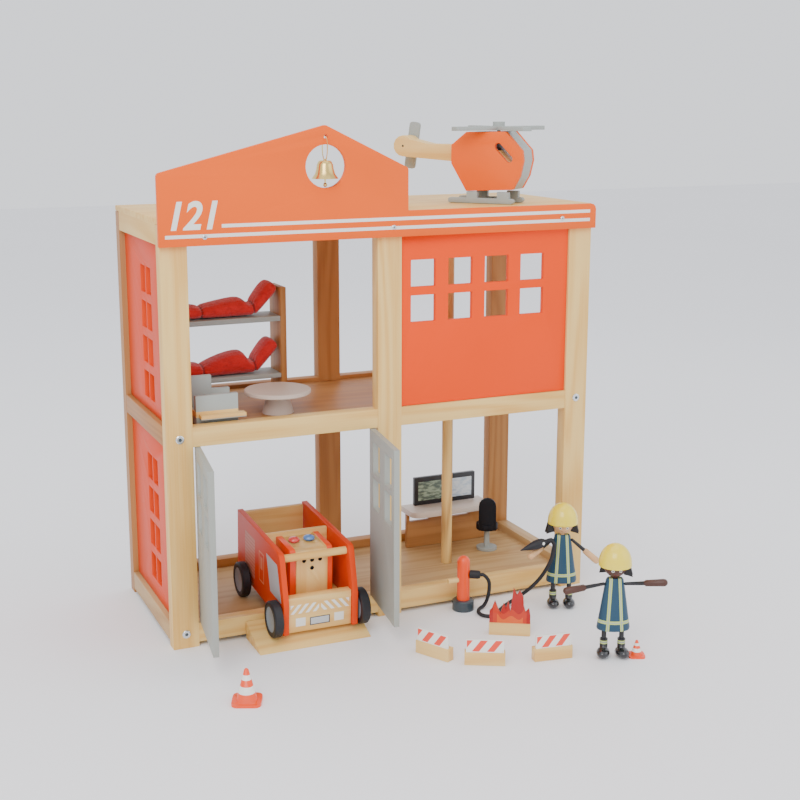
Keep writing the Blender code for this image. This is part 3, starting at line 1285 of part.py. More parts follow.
def main():
    front_frame()
    ladder_frame("back_frame", BACK_Y, 1)
    floors()
    roof_deck()
    gable_fascia()
    wall_panels()
    slide_pole()
    door("door_left", DOOR_AXIS_XS[0], -1, DOOR_LEFT_OPEN)
    door("door_right", DOOR_AXIS_XS[1], 1, DOOR_RIGHT_OPEN)
    alarm_bell()
    ramp()
    engine_box()
    engine_side("engine_side_left", -1)
    engine_side("engine_side_right", 1)
    engine_grab_bar()
    engine_sound_block()
    engine_buttons()
    wheelset("engine_wheels_front", -WHEELBASE)
    wheelset("engine_wheels_rear", 0)
    helicopter_body()
    helicopter_rotors()
    helicopter_skids()
    bunk_bed()
    bunk_mats()
    armchair()
    round_table()
    desk()
    swivel_chair()
    hydrant()
    hose_coupling()
    hose()
    hose_nozzle()
    flame_board()
    barriers()
    cones()
    dolls()


main()
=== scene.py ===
"""Looks of the wooden toy fire station: finishes, bedding, hose, prints and fastenings on the frame."""

import functools
import json
import math

import bmesh
import bpy
from mathutils import Matrix, Vector


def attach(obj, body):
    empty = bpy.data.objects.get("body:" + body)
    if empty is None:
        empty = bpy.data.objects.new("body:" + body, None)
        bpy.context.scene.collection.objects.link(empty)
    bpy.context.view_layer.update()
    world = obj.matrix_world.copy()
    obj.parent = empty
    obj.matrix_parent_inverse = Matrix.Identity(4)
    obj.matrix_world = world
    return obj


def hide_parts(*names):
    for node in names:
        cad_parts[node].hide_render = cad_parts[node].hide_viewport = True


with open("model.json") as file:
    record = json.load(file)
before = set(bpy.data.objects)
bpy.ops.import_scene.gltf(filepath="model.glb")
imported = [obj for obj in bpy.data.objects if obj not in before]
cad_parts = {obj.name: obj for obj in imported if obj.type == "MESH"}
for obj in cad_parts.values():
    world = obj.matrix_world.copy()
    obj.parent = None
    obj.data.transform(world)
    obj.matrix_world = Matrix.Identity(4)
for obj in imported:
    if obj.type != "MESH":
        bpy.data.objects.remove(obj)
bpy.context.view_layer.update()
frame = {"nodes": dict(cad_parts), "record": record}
nodes = frame["nodes"]
record = frame["record"]
BODY_OF = {node: body for body, members in record["behaviour"]["bodies"].items() for node in members}
FIT = 0.0003


# Objects and meshes
def give(target, **settings):
    for key, value in settings.items():
        setattr(target, key, value)
    return target


def add_modifier(piece, kind, **settings):
    give(piece.modifiers.new(kind.lower(), kind), **settings)


def around(radius, turn, z):
    """A point at a radius from the z axis."""
    return Vector((radius * math.cos(turn), radius * math.sin(turn), z))


def add_object(name, data):
    made = bpy.data.objects.new(name, data)
    bpy.context.scene.collection.objects.link(made)
    return made


def add_piece(name, mesh, material, sharp=None):
    """A piece in its finish, smooth all over or, given an angle in degrees, up to edges that sharp."""
    piece = add_object(name, mesh)
    mesh.materials.append(material)
    mesh.shade_smooth()
    if sharp is not None:
        mesh.set_sharp_from_angle(angle=math.radians(sharp))
    return piece


def mesh_from(name, bm):
    mesh = bpy.data.meshes.new(name)
    bm.to_mesh(mesh)
    bm.free()
    return mesh


def evaluated_mesh(piece):
    """What a piece's modifiers make, as a plain mesh."""
    return bpy.data.meshes.new_from_object(piece.evaluated_get(bpy.context.evaluated_depsgraph_get()))


def join_rings(bm, rings):
    """Faces between each closed ring of vertices and the next."""
    count = len(rings[0])
    for here, there in zip(rings, rings[1:]):
        for at in range(count):
            after = (at + 1) % count
            bm.faces.new((here[at], here[after], there[after], there[at]))


def hand_over(piece, body, node=None):
    """Hangs a piece on its body's empty and hides the node that it stands in for."""
    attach(piece, body)
    if node is not None:
        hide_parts(node)


# Camera: where the picture was taken from
PICTURE = 800
FOCAL_PIXELS = 1321.73
AXIS_PIXELS = (375, 380)
AZIMUTH, ELEVATION, ROLL = -0.40167, 0.20974, -0.00254
CAMERA_AT = (-0.56589, -1.29866, 0.57184)


def set_camera():
    back = Vector((math.sin(AZIMUTH) * math.cos(ELEVATION), -math.cos(AZIMUTH) * math.cos(ELEVATION),
                   math.sin(ELEVATION)))
    right = Vector((0, 0, 1)).cross(back).normalized()
    up = back.cross(right)
    c, s = math.cos(ROLL), math.sin(ROLL)
    turn = Matrix((right * c + up * s, up * c - right * s, back)).transposed()
    data = bpy.data.cameras.new("camera")
    data.lens = FOCAL_PIXELS / PICTURE * data.sensor_width
    data.shift_x = (PICTURE / 2 - AXIS_PIXELS[0]) / PICTURE
    data.shift_y = (AXIS_PIXELS[1] - PICTURE / 2) / PICTURE
    camera = add_object("camera", data)
    camera.matrix_world = Matrix.Translation(CAMERA_AT) @ turn.to_4x4()
    bpy.context.scene.camera = camera


set_camera()


# Shader writing: values carry arithmetic, and one function makes every node
class Value:
    """One output of a shader node, with arithmetic."""

    def __init__(self, finish, socket):
        self.finish = finish
        self.socket = socket

    def math(self, operation, *others):
        return self.finish.node("ShaderNodeMath", {"operation": operation}, [self, *others])

    def __add__(self, other):
        return self.math("ADD", other)

    def __sub__(self, other):
        return self.math("SUBTRACT", other)

    def __rsub__(self, other):
        return self.finish.node("ShaderNodeMath", {"operation": "SUBTRACT"}, [other, self])

    def __mul__(self, other):
        return self.math("MULTIPLY", other)

    __radd__ = __add__
    __rmul__ = __mul__

    def over(self, limit):
        return self.math("GREATER_THAN", limit)

    def under(self, limit):
        return self.math("LESS_THAN", limit)

    def between(self, low, high):
        return self.over(low) * self.under(high)

    def near(self, centre, reach):
        """1 within reach of centre."""
        return (self - centre).unsigned().under(reach)

    def either(self, other):
        return self.math("MAXIMUM", other)

    def unsigned(self):
        return self.math("ABSOLUTE")

    def root(self):
        return self.math("SQRT")

    def sine(self):
        return self.math("SINE")

    def eased(self, low, high):
        """0 below low and 1 above high, with a soft step between."""
        return self.finish.node("ShaderNodeMapRange", {"interpolation_type": "SMOOTHSTEP"},
                                {"Value": self, "From Min": low, "From Max": high})


def feed(tree, socket, value):
    """Gives a socket a link or a constant."""
    if isinstance(value, Value):
        value = value.socket
    if isinstance(value, bpy.types.NodeSocket):
        tree.links.new(value, socket)
    else:
        socket.default_value = value


def add_node(tree, kind, settings, inputs, output=0):
    """A node with its settings and with links or constants in its sockets; gives one output socket."""
    made = give(tree.nodes.new(kind), **settings)
    for key, value in inputs.items() if isinstance(inputs, dict) else enumerate(inputs):
        feed(tree, made.inputs[key], value)
    return made.outputs[output]


BLACK, FULL_WHITE = (0, 0, 0, 1), (1, 1, 1, 1)
MIX_SHARE, MIX_FIRST, MIX_SECOND, MIX_RESULT = 0, 6, 7, 2
BUMP_INPUTS = ("Height", "Distance", "Strength")


class Finish:
    """A material under one Principled shader, on the coordinates of a piece that may stand turned."""

    def __init__(self, name, place=None, turn=(0, 0, 0)):
        self.material = bpy.data.materials.new(name)
        self.material.use_nodes = True
        self.tree = self.material.node_tree
        self.shader = self.tree.nodes["Principled BSDF"]
        self.point = self.coordinates(place, turn)

    def node(self, kind, settings, inputs, output=0):
        return Value(self, add_node(self.tree, kind, settings, inputs, output))

    def coordinates(self, place=None, turn=(0, 0, 0)):
        """Object coordinates, or those of a piece that stands at a place and is turned."""
        here = self.node("ShaderNodeTexCoord", {}, {}, "Object")
        if place is None:
            return here
        return self.node("ShaderNodeMapping", {"vector_type": "TEXTURE"},
                         {"Vector": here, "Location": place, "Rotation": turn})

    def split(self, point=None):
        """The x, y and z of a point, or of the finish's own coordinates."""
        source = self.point if point is None else point
        return [self.node("ShaderNodeSeparateXYZ", {}, [source], axis) for axis in range(3)]

    def noise(self, scale, detail=2.0, roughness=0.5, shift=(0, 0, 0)):
        """Noise with so many cells to a metre, or with a number for each axis."""
        point = self.point
        if isinstance(scale, (tuple, list)):
            point = self.node("ShaderNodeMapping", {}, {"Vector": point, "Location": shift, "Scale": scale})
            scale = 1.0
        return self.node("ShaderNodeTexNoise", {},
                         {"Vector": point, "Scale": scale, "Detail": detail, "Roughness": roughness})

    def mix(self, first, second, share):
        return self.node("ShaderNodeMix", {"data_type": "RGBA"},
                         {MIX_SHARE: share, MIX_FIRST: first, MIX_SECOND: second}, MIX_RESULT)

    def darker(self, base, share):
        return self.mix(base, BLACK, share)

    def set(self, paint, rough, bump=None, **others):
        """The finished material. bump is a height with the distance and strength that it shows with."""
        if bump is not None:
            others["normal"] = self.node("ShaderNodeBump", {}, dict(zip(BUMP_INPUTS, bump)))
        for name, value in {"base_color": paint, "roughness": rough, **others}.items():
            socket = name.replace("_", " ").title().replace("Ior", "IOR")
            feed(self.tree, self.shader.inputs[socket], value)
        return self.material


def begin(name, place=None, turn=(0, 0, 0)):
    """A new finish, and the x, y and z of its coordinates."""
    finish = Finish(name, place, turn)
    return finish, *finish.split()


def squares(*parts):
    """The sum of the squares of some values."""
    return functools.reduce(Value.__add__, [part * part for part in parts])


def any_of(masks):
    return functools.reduce(Value.either, masks)


def within(a, b, spans, inset=0):
    """A mask in a box given by its span along a and its span along b, drawn in by an inset."""
    (a_low, a_high), (b_low, b_high) = spans
    return a.between(a_low + inset, a_high - inset) * b.between(b_low + inset, b_high - inset)


def bars(value, pitch, level):
    """Bars at a pitch, where a wave is over a level."""
    return (value * (2 * math.pi / pitch)).sine().over(level)


def colour(red, green, blue):
    """A display colour, 0 to 1, as the linear one that a shader takes."""
    return (*[((c + 0.055) / 1.055) ** 2.4 if c > 0.04045 else c / 12.92 for c in (red, green, blue)], 1)


PINE = colour(0.93, 0.78, 0.49)
PINE_LATE = colour(0.87, 0.66, 0.34)
# Painted shade: the inner pine tones are darker copies of pine, for the back frame, upper floor, bunk ends,
# desk board and pole inside the station.
PINE_SHADED = colour(0.71, 0.50, 0.29)
# Painted shade: the low pine tones are darker copies of pine for the floor of the lower room.
PINE_LOW_SHADED = colour(0.77, 0.64, 0.45)
PINE_LOW_SHADED_LATE = colour(0.68, 0.52, 0.33)
PINE_SHADED_LATE = colour(0.62, 0.41, 0.22)
ORANGE = colour(0.97, 0.29, 0.0)
ORANGE_LIGHT = colour(0.97, 0.40, 0.09)
ORANGE_SIDE = colour(0.88, 0.26, 0.05)
GREY = colour(0.63, 0.65, 0.63)
GREY_WARM = colour(0.88, 0.83, 0.78)
WHITE = colour(0.93, 0.93, 0.90)
SILVER = colour(0.74, 0.76, 0.78)
NEAR_BLACK = colour(0.10, 0.10, 0.12)
SLATE = colour(0.20, 0.25, 0.28)
FLAME_RED = colour(0.69, 0.08, 0.05)
FLAME_ORANGE = colour(0.79, 0.20, 0.07)
FLAME_GLOW = colour(0.88, 0.36, 0.08)
TEAL = colour(0.03, 0.24, 0.34)
LIME = colour(0.74, 0.80, 0.42)
YELLOW = colour(0.95, 0.85, 0.20)
TAN = colour(0.86, 0.67, 0.47)
BROWN = colour(0.30, 0.16, 0.11)
HAIR = colour(0.05, 0.045, 0.05)

# Depths of the bumps in paint, in wood's grain and in rough or thickly grained faces
STIPPLE_DEPTH = 0.00008
GRAIN_DEPTH = 0.0001
COARSE_DEPTH = 0.00012

# Cells to a metre, across and along the wood, of its growth lines and of its fibres
LINE_SCALES = (26, 2.2)
FIBRE_SCALES = (620, 14)
RINGS = 48
SEED_SHIFTS = (1.7, 0.9, 2.3)
TURNED_SEED = 3.1


def grain(finish, along, seed):
    """The wood's growth lines and fibres, 0 to 1, running along one axis."""
    shift = [seed * step for step in SEED_SHIFTS]
    line_scale, fibre_scale = (
        [lengthwise if axis == along else across for axis in range(3)]
        for across, lengthwise in (LINE_SCALES, FIBRE_SCALES))
    broad = finish.noise(line_scale, 1.5, 0.4, shift)
    fine = finish.noise(fibre_scale, 3.0, 0.6, shift)
    lines = (broad * RINGS).sine() * 0.5 + 0.5
    return lines * 0.30 + fine * 0.42 + broad * 0.28


def pine_look(finish, along, seed, early=PINE, late=PINE_LATE, turned=None):
    """Pine colour, roughness and height. turned is (axis, mask): the grain's axis where the mask is 1."""
    tone = grain(finish, along, seed)
    if turned is not None:
        axis, mask = turned
        tone = tone + (grain(finish, axis, seed + TURNED_SEED) - tone) * mask
    paint = finish.mix(early, late, tone.eased(0.28, 0.92))
    paint = finish.mix(paint, late, finish.noise(9.0).eased(0.55, 0.85) * 0.35)
    return paint, 0.50 - tone * 0.10, tone


def pine(name, along, seed, early=PINE, late=PINE_LATE, turned=None):
    """Clear-varnished pine. turned is (axis, masker), and the masker makes a mask of x, y and z."""
    finish = Finish(name)
    if turned is not None:
        axis, masker = turned
        turned = (axis, masker(*finish.split()))
    paint, rough, height = pine_look(finish, along, seed, early, late, turned)
    return finish.set(paint, rough, (height, COARSE_DEPTH, 0.5), specular_ior_level=0.2, coat_weight=0.03,
                      coat_roughness=0.35)


def painted_look(finish, base, seed):
    """A satin brushed-on paint with slow changes of tone, and its fine stipple."""
    slow = finish.noise((7, 7, 7), shift=(seed, seed, 0))
    stipple = finish.noise(900.0)
    return finish.mix(base, finish.darker(base, 0.28), slow.eased(0.35, 0.8) * 0.2), stipple


def painted(name, base, seed, rough=0.42, prints=None, place=None, turn=(0, 0, 0)):
    """Paint on wood. prints(finish, x, y, z, paint) returns the paint with printed shapes on it."""
    finish = Finish(name)
    paint, stipple = painted_look(finish, base, seed)
    if prints is not None:
        local = finish.point if place is None else finish.coordinates(place, turn)
        paint = prints(finish, *finish.split(local), paint)
    fibre = finish.noise((60, 60, 8))
    return finish.set(paint, rough + (stipple - 0.5) * 0.12, (stipple * 0.4 + fibre, GRAIN_DEPTH, 0.35),
                      specular_ior_level=0.15, coat_weight=0.03, coat_roughness=0.25)


# The gable board: its face, and each stripe's height, half width and left end
FASCIA_FRONT = -0.0143
FASCIA_END = 0.244
FASCIA_STRIPES = ((0.4378, 0.00175, -0.2455), (0.4473, 0.00175, -0.1870))
PRINT_DEPTH = 0.0012


def fascia_print(finish, x, y, z, paint):
    stripes = any_of(z.near(height, reach) * x.between(start, FASCIA_END)
                     for height, reach, start in FASCIA_STRIPES)
    return finish.mix(paint, WHITE, stripes * y.under(FASCIA_FRONT + PRINT_DEPTH))


# The engine, in its own coordinates. Spans on a side are along y and z, on the front along x and z
ENGINE_PLACE = (-0.098, 0.075, 0.0363)
ENGINE_PITCH = math.radians(3.206)
ENGINE_TURN = (ENGINE_PITCH, 0, 0)
ENGINE_SIDE_X = 0.0420
ENGINE_FRONT_Y = -0.1150
CAB_WINDOW = ((-0.1155, -0.0790), (0.0170, 0.0560))
CAB_WINDOW_LEAN = -0.36
HATCH = ((-0.0570, -0.0400), (0.0150, 0.0500))
HATCH_LINE = 0.0015
HATCH_PANE = ((-0.0520, -0.0450), (0.0300, 0.0440))
SHUTTER = ((-0.0255, 0.0105), (0.0080, 0.0560))
SLAT_PITCH = 0.0042
CHEVRONS = ((0.0012, 0.0335), (0.0048, 0.0150))
CHEVRON_PITCH, CHEVRON_LEAN = 0.0084, 0.85
HEADLIGHTS = ((0.0165, 0.0275), (-0.0100, -0.0004))
PLATE_HALF, PLATE_SPAN = 0.0115, (-0.0108, -0.0014)
PLATE_FACE_HALF, PLATE_FACE_SPAN = 0.0104, (-0.0098, -0.0024)


def engine_side_print(finish, x, y, z, paint):
    """Cab window, outlined hatch and roller shutter on the outer face of a side board."""
    outer = x.unsigned().over(ENGINE_SIDE_X)
    leaned = y + (z - CAB_WINDOW[1][0]) * CAB_WINDOW_LEAN
    hatch_line = within(y, z, HATCH) * (1 - within(y, z, HATCH, HATCH_LINE))
    shutter = within(y, z, SHUTTER)
    for shape, tint in (
            (within(leaned, z, CAB_WINDOW), SILVER),
            (hatch_line, colour(0.93, 0.62, 0.48)),
            (within(y, z, HATCH_PANE), colour(0.90, 0.55, 0.42)),
            (shutter, colour(0.86, 0.56, 0.47)),
            (shutter * bars(z, SLAT_PITCH, 0.55), colour(0.78, 0.43, 0.34))):
        paint = finish.mix(paint, tint, shape * outer)
    return paint


def bumper_print(finish, x, y, z, paint):
    """Two fans of slanted bars, headlights and a bare plate on the engine's front board."""
    front = y.under(ENGINE_FRONT_Y)
    across = x.unsigned()
    chevrons = bars(across + z * CHEVRON_LEAN, CHEVRON_PITCH, 0.1) * within(across, z, CHEVRONS)
    for shape, tint in (
            (chevrons, WHITE),
            (within(across, z, HEADLIGHTS), WHITE),
            (across.under(PLATE_HALF) * z.between(*PLATE_SPAN), SLATE),
            (across.under(PLATE_FACE_HALF) * z.between(*PLATE_FACE_SPAN), SILVER)):
        paint = finish.mix(paint, tint, shape * front)
    return paint


def engine_box_look():
    finish = Finish("pine, engine box", ENGINE_PLACE, ENGINE_TURN)
    wood, rough, tone = pine_look(finish, 0, 8.0)
    return finish.set(bumper_print(finish, *finish.split(), wood), rough, (tone, GRAIN_DEPTH, 0.4),
                      coat_weight=0.2, coat_roughness=0.3)


SOUND_CHEEK_X = 0.01805
SOUND_HOLE_PITCH, SOUND_HOLE_R = 0.0092, 0.0023
SOUND_HOLES_Z = 0.0530
SOUND_HOLES = (*[(step * SOUND_HOLE_PITCH, SOUND_HOLES_Z) for step in (-1, 0, 1)],
               (0, SOUND_HOLES_Z - SOUND_HOLE_PITCH))
SOUND_TOP_Z = 0.0600


def sound_block_look():
    """Bare block with sound holes painted dark, as painted shade, between two orange cheeks."""
    finish, x, y, z = begin("sound block", ENGINE_PLACE, ENGINE_TURN)
    wood, rough, tone = pine_look(finish, 2, 7.0)
    paint, stipple = painted_look(finish, ORANGE, 1.0)
    paint = finish.mix(wood, paint, x.unsigned().over(SOUND_CHEEK_X))
    holes = any_of(squares(x - across, z - high).under(SOUND_HOLE_R**2) for across, high in SOUND_HOLES)
    # Painted shade: the sound holes are painted near black.
    paint = finish.mix(paint, NEAR_BLACK, holes * z.under(SOUND_TOP_Z))
    return finish.set(paint, 0.46 - tone * 0.06, (tone, GRAIN_DEPTH, 0.35), coat_weight=0.2)


WHEEL_FACE_R = 0.0137
TREAD_PITCH = 0.0012


def wheel_look(name, axle_y, axle_z):
    """Matt black tyre with a blue-grey painted face."""
    finish, x, y, z = begin(name, (0, axle_y, axle_z))
    radius = squares(y, z).root()
    face = radius.under(WHEEL_FACE_R)
    stipple = finish.noise(700.0)
    tread = ((radius * (2 * math.pi / TREAD_PITCH)).sine() * 0.5 + 0.5) * (1 - face)
    return finish.set(finish.mix(NEAR_BLACK, colour(0.50, 0.56, 0.60), face),
                      0.55 - face * 0.12 + (stipple - 0.5) * 0.15,
                      (stipple + tread * 0.5, COARSE_DEPTH, 0.4))


# The helicopter, in its own coordinates
HELI_PLACE = (0.147, 0.045, 0.4558)
HELI_TURN = math.radians(-50)
BOOM_X = -0.0350
SLOT_LINE, SLOT_HALF = 0.0800, 0.0063
SLOT_SPAN = (0.0118, 0.0347)
SLOT_SHADE_Z = 0.0590
PIN_X, PIN_Z, PIN_R = -0.104, 0.0625, 0.0013


def heli_core_look():
    """Grey body with a slanted slot of bare wood, darkened at its top with painted shade, and a bare wooden
    tail boom that carries a small dark pin.
    """
    finish, x, y, z = begin("helicopter core", HELI_PLACE, (0, 0, HELI_TURN))
    paint, stipple = painted_look(finish, GREY, 5.0)
    wood, rough, tone = pine_look(finish, 0, 6.0)
    slot = (x + z).near(SLOT_LINE, SLOT_HALF) * x.between(*SLOT_SPAN)
    paint = finish.mix(paint, wood, x.under(BOOM_X).either(slot))
    # Painted shade: the slot's upper part is darkened where its top lies in shade.
    paint = finish.mix(paint, colour(0.25, 0.16, 0.11), slot * z.over(SLOT_SHADE_Z))
    paint = finish.mix(paint, NEAR_BLACK, squares(x - PIN_X, z - PIN_Z).under(PIN_R**2))
    return finish.set(paint, 0.46 + stipple * 0.08, (stipple, STIPPLE_DEPTH, 0.3), coat_weight=0.15)


# The yard's toys, each in its own coordinates
HYDRANT_PLACE = (0.084, -0.025, 0)
HYDRANT_STUB_R, HYDRANT_STUB_Z = 0.0076, 0.014
HYDRANT_FOOT_Z = 0.0121
FLAME_PLACE = (0.076, -0.103, 0)
FLAME_TURN = math.radians(-30)
FLAME_WAVES = ((330.0, 0.0, 0.0040), (150.0, 1.2, 0.0035))
FLAME_INNER_Z, FLAME_INNER_SPAN = 0.0290, (0.0040, 0.0405)
FLAME_CORE_Z, FLAME_CORE_SPAN, FLAME_CORE_SHARE = 0.0215, (0.0085, 0.0365), 0.8
FLAME_BLOCK_Z = 0.0136
BARRIERS = {"left": (-0.017, -0.114, -62), "mid": (0.0156, -0.1635, -27), "right": (0.086, -0.186, -8)}
BARRIER_BLOCK_Z = 0.0141
BARRIER_PRINT = ((0.0022, 0.0390), (0.0150, 0.0272))
BARRIER_PITCH, BARRIER_LEAN, BARRIER_SHIFT = 0.0155, 0.75, 0.004


def hydrant_look():
    """Orange post on a dark slate foot, with a bare wooden outlet stub."""
    finish, x, y, z = begin("hydrant paint", HYDRANT_PLACE)
    paint, stipple = painted_look(finish, ORANGE, 2.0)
    wood, rough, tone = pine_look(finish, 0, 4.0)
    paint = finish.mix(paint, SLATE, z.under(HYDRANT_FOOT_Z))
    paint = finish.mix(paint, wood, squares(x, y).over(HYDRANT_STUB_R**2) * z.over(HYDRANT_STUB_Z))
    return finish.set(paint, 0.34 + stipple * 0.1, (stipple, STIPPLE_DEPTH, 0.3), coat_weight=0.3,
                      coat_roughness=0.2)


def flame_look():
    """Jagged red board that glows orange and yellow near its foot, on a bare block."""
    finish, x, y, z = begin("flame paint", FLAME_PLACE, (0, 0, FLAME_TURN))
    lick = functools.reduce(Value.__add__, [(x * rate + start).sine() * height
                                            for rate, start, height in FLAME_WAVES])
    inner = (z - lick).under(FLAME_INNER_Z) * x.between(*FLAME_INNER_SPAN)
    core = (z - lick * FLAME_CORE_SHARE).under(FLAME_CORE_Z) * x.between(*FLAME_CORE_SPAN)
    wood, rough, tone = pine_look(finish, 0, 8.0)
    paint = finish.mix(FLAME_RED, FLAME_ORANGE, inner)
    paint = finish.mix(paint, FLAME_GLOW, core)
    paint = finish.mix(paint, wood, z.under(FLAME_BLOCK_Z))
    return finish.set(paint, 0.45 - tone * 0.08, (tone, GRAIN_DEPTH, 0.3), coat_weight=0.2)


def barrier_look(word):
    """White board with slanted red bars in a bare wooden block."""
    x0, y0, yaw = BARRIERS[word]
    finish, x, y, z = begin("barrier " + word, (x0, y0, 0), (0, 0, math.radians(yaw)))
    red = bars(x - z * BARRIER_LEAN + BARRIER_SHIFT, BARRIER_PITCH, 0.05) * within(x, z, BARRIER_PRINT)
    wood, rough, tone = pine_look(finish, 0, 9.0 + x0 * 100)
    paint = finish.mix(WHITE, colour(0.93, 0.27, 0.16), red)
    paint = finish.mix(wood, paint, z.over(BARRIER_BLOCK_Z))
    return finish.set(paint, rough, (tone, GRAIN_DEPTH, 0.35), coat_weight=0.15)


def cone_look(name, tall, band_shares):
    """Orange cone with pale bands, each between two shares of its height."""
    finish, x, y, z = begin(name)
    paint, stipple = painted_look(finish, ORANGE, 3.0)
    bands = any_of(z.between(low * tall, high * tall) for low, high in band_shares)
    return finish.set(finish.mix(paint, WHITE, bands), 0.36 + stipple * 0.1, (stipple, STIPPLE_DEPTH, 0.3),
                      coat_weight=0.35)


# Furniture: where prints and bare wood begin, in the station's coordinates
SCREEN_Y = 0.1592
SCREEN_SPAN = (0.0730, 0.0975)
SCREEN_LEFT, SCREEN_RIGHT = (0.1120, 0.1460), (0.1530, 0.1870)
DESK_TOP_Z = 0.0598
SEAT_SPAN, SEAT_Y = (0.2450, 0.2512), 0.0300


def screen_look():
    """Black painted board with two printed screens: a green hillside and a pale blue sky."""
    finish, x, y, z = begin("screen board")
    front = y.under(SCREEN_Y)
    left, right = (within(x, z, (side, SCREEN_SPAN)) * front for side in (SCREEN_LEFT, SCREEN_RIGHT))
    hills = finish.noise((130, 130, 390), 3.0)
    ground = finish.mix(colour(0.33, 0.40, 0.36), colour(0.62, 0.70, 0.60), hills.eased(0.4, 0.65))
    sky = finish.mix(colour(0.70, 0.78, 0.84), colour(0.84, 0.88, 0.90), hills.eased(0.35, 0.6))
    paint = finish.mix(NEAR_BLACK, ground, left)
    paint = finish.mix(paint, sky, right)
    stipple = finish.noise(800.0)
    return finish.set(paint, 0.40 - left.either(right) * 0.12 + stipple * 0.08,
                      (stipple, STIPPLE_DEPTH, 0.25), coat_weight=0.25)


def desk_look():
    """Warm grey painted top on a bare notched board, in darker pine that is painted shade."""
    finish, x, y, z = begin("desk")
    paint, stipple = painted_look(finish, GREY_WARM, 7.0)
    wood, rough, tone = pine_look(finish, 0, 2.0, PINE_SHADED, PINE_SHADED_LATE)
    return finish.set(finish.mix(wood, paint, z.over(DESK_TOP_Z)), 0.45 - tone * 0.05,
                      (stipple, STIPPLE_DEPTH, 0.3), coat_weight=0.15)


def armchair_look():
    """Grey painted chair; the face that shows in front is bare where the seat board lies."""
    finish, x, y, z = begin("armchair paint")
    paint, stipple = painted_look(finish, GREY, 8.0)
    wood, rough, tone = pine_look(finish, 0, 5.0)
    seat = z.between(*SEAT_SPAN) * y.under(SEAT_Y)
    return finish.set(finish.mix(paint, wood, seat), 0.46 + stipple * 0.06, (stipple, STIPPLE_DEPTH, 0.3),
                      coat_weight=0.15)


# Dolls: prints in each doll's own coordinates, with heights from the soles
DOLL_TURN = math.radians(-23)
DOLL_PLACES = {"a": (0.1905, -0.062, 0), "b": (0.168, -0.204, 0)}
BOOT_Z = 0.0120
SOCK_SPAN, SOCK_CORE_SPAN = (0.0150, 0.0185), (0.0160, 0.0175)
COAT_Z = 0.0309
BRACE_X, BRACE_FOOT_Z, BRACE_FOOT_SHARE, BRACE_LEAN = 0.0060, 0.031, 1.25, 9.0
HEM_Z = 0.0405
BRACE_HALF, HEM_HALF, CORE_HALF = 0.0016, 0.0017, 0.0006
HEAD_Z = 0.100
FACE_R, FACE_TOP_Z, FACE_FRONT_Y = 0.01235, 0.1004, -0.0040
NECK_R, NECK_TOP_Z = 0.0042, 0.0885
HELMET_RIM_Z = 0.1002
EYE_X, EYE_Z, EYE_R, PUPIL_R = 0.0040, 0.0972, 0.0015, 0.0008
MOUTH_Z, MOUTH_TOP_Z, MOUTH_RING = 0.0955, 0.0935, (0.0032, 0.0037)
HAND_REACH = 0.0191


def doll_coat_look(who):
    """Blue coat with pale bands, dark legs, banded socks and glossy boots."""
    finish, x, y, z = begin("doll coat " + who, DOLL_PLACES[who], (0, 0, DOLL_TURN))
    flare = BRACE_FOOT_SHARE - (z - BRACE_FOOT_Z) * BRACE_LEAN
    brace = x.unsigned() - flare * BRACE_X
    paint = TEAL
    for brace_half, hem_half, tint in ((BRACE_HALF, HEM_HALF, LIME),
                                       (CORE_HALF, CORE_HALF, colour(0.62, 0.67, 0.62))):
        paint = finish.mix(paint, tint, brace.near(0, brace_half).either(z.near(HEM_Z, hem_half)))
    legs = finish.mix(NEAR_BLACK, LIME, z.between(*SOCK_SPAN))
    legs = finish.mix(legs, colour(0.55, 0.58, 0.55), z.between(*SOCK_CORE_SPAN))
    fibre = finish.noise(1400.0, 3.0)
    boots = z.under(BOOT_Z)
    return finish.set(finish.mix(legs, paint, z.over(COAT_Z)), 0.50 - boots * 0.30 + (fibre - 0.5) * 0.12,
                      (fibre * (1 - boots), 0.00015, 0.5), coat_weight=0.2 + boots * 0.5)


def doll_face_look(who, skin):
    """Painted wooden face with two eyes and a small mouth, under hair and a domed helmet."""
    finish, x, y, z = begin("doll head " + who, DOLL_PLACES[who], (0, 0, DOLL_TURN))
    front = y.under(FACE_FRONT_Y)
    helmet = z.over(HELMET_RIM_Z)
    face = squares(x, y, z - HEAD_Z).root().under(FACE_R) * z.under(FACE_TOP_Z)
    neck = z.under(NECK_TOP_Z) * squares(x, y).under(NECK_R**2)
    from_eye = squares(x.unsigned() - EYE_X, z - EYE_Z)
    mouth = squares(x, z - MOUTH_Z).root().between(*MOUTH_RING) * z.under(MOUTH_TOP_Z)
    paint = finish.mix(skin, finish.darker(skin, 0.3), finish.noise((120, 120, 20)).eased(0.45, 0.75) * 0.4)
    for shape, tint in ((from_eye.under(EYE_R**2), WHITE), (from_eye.under(PUPIL_R**2), NEAR_BLACK),
                        (mouth, colour(0.55, 0.16, 0.12))):
        paint = finish.mix(paint, tint, shape * front)
    paint = finish.mix(HAIR, paint, face.either(neck))
    strands = finish.noise((900, 900, 60))
    return finish.set(finish.mix(paint, YELLOW, helmet), 0.45 - helmet * 0.15 + (strands - 0.5) * 0.1,
                      (strands * (1 - helmet), COARSE_DEPTH, 0.5), coat_weight=helmet * 0.4 + 0.1)


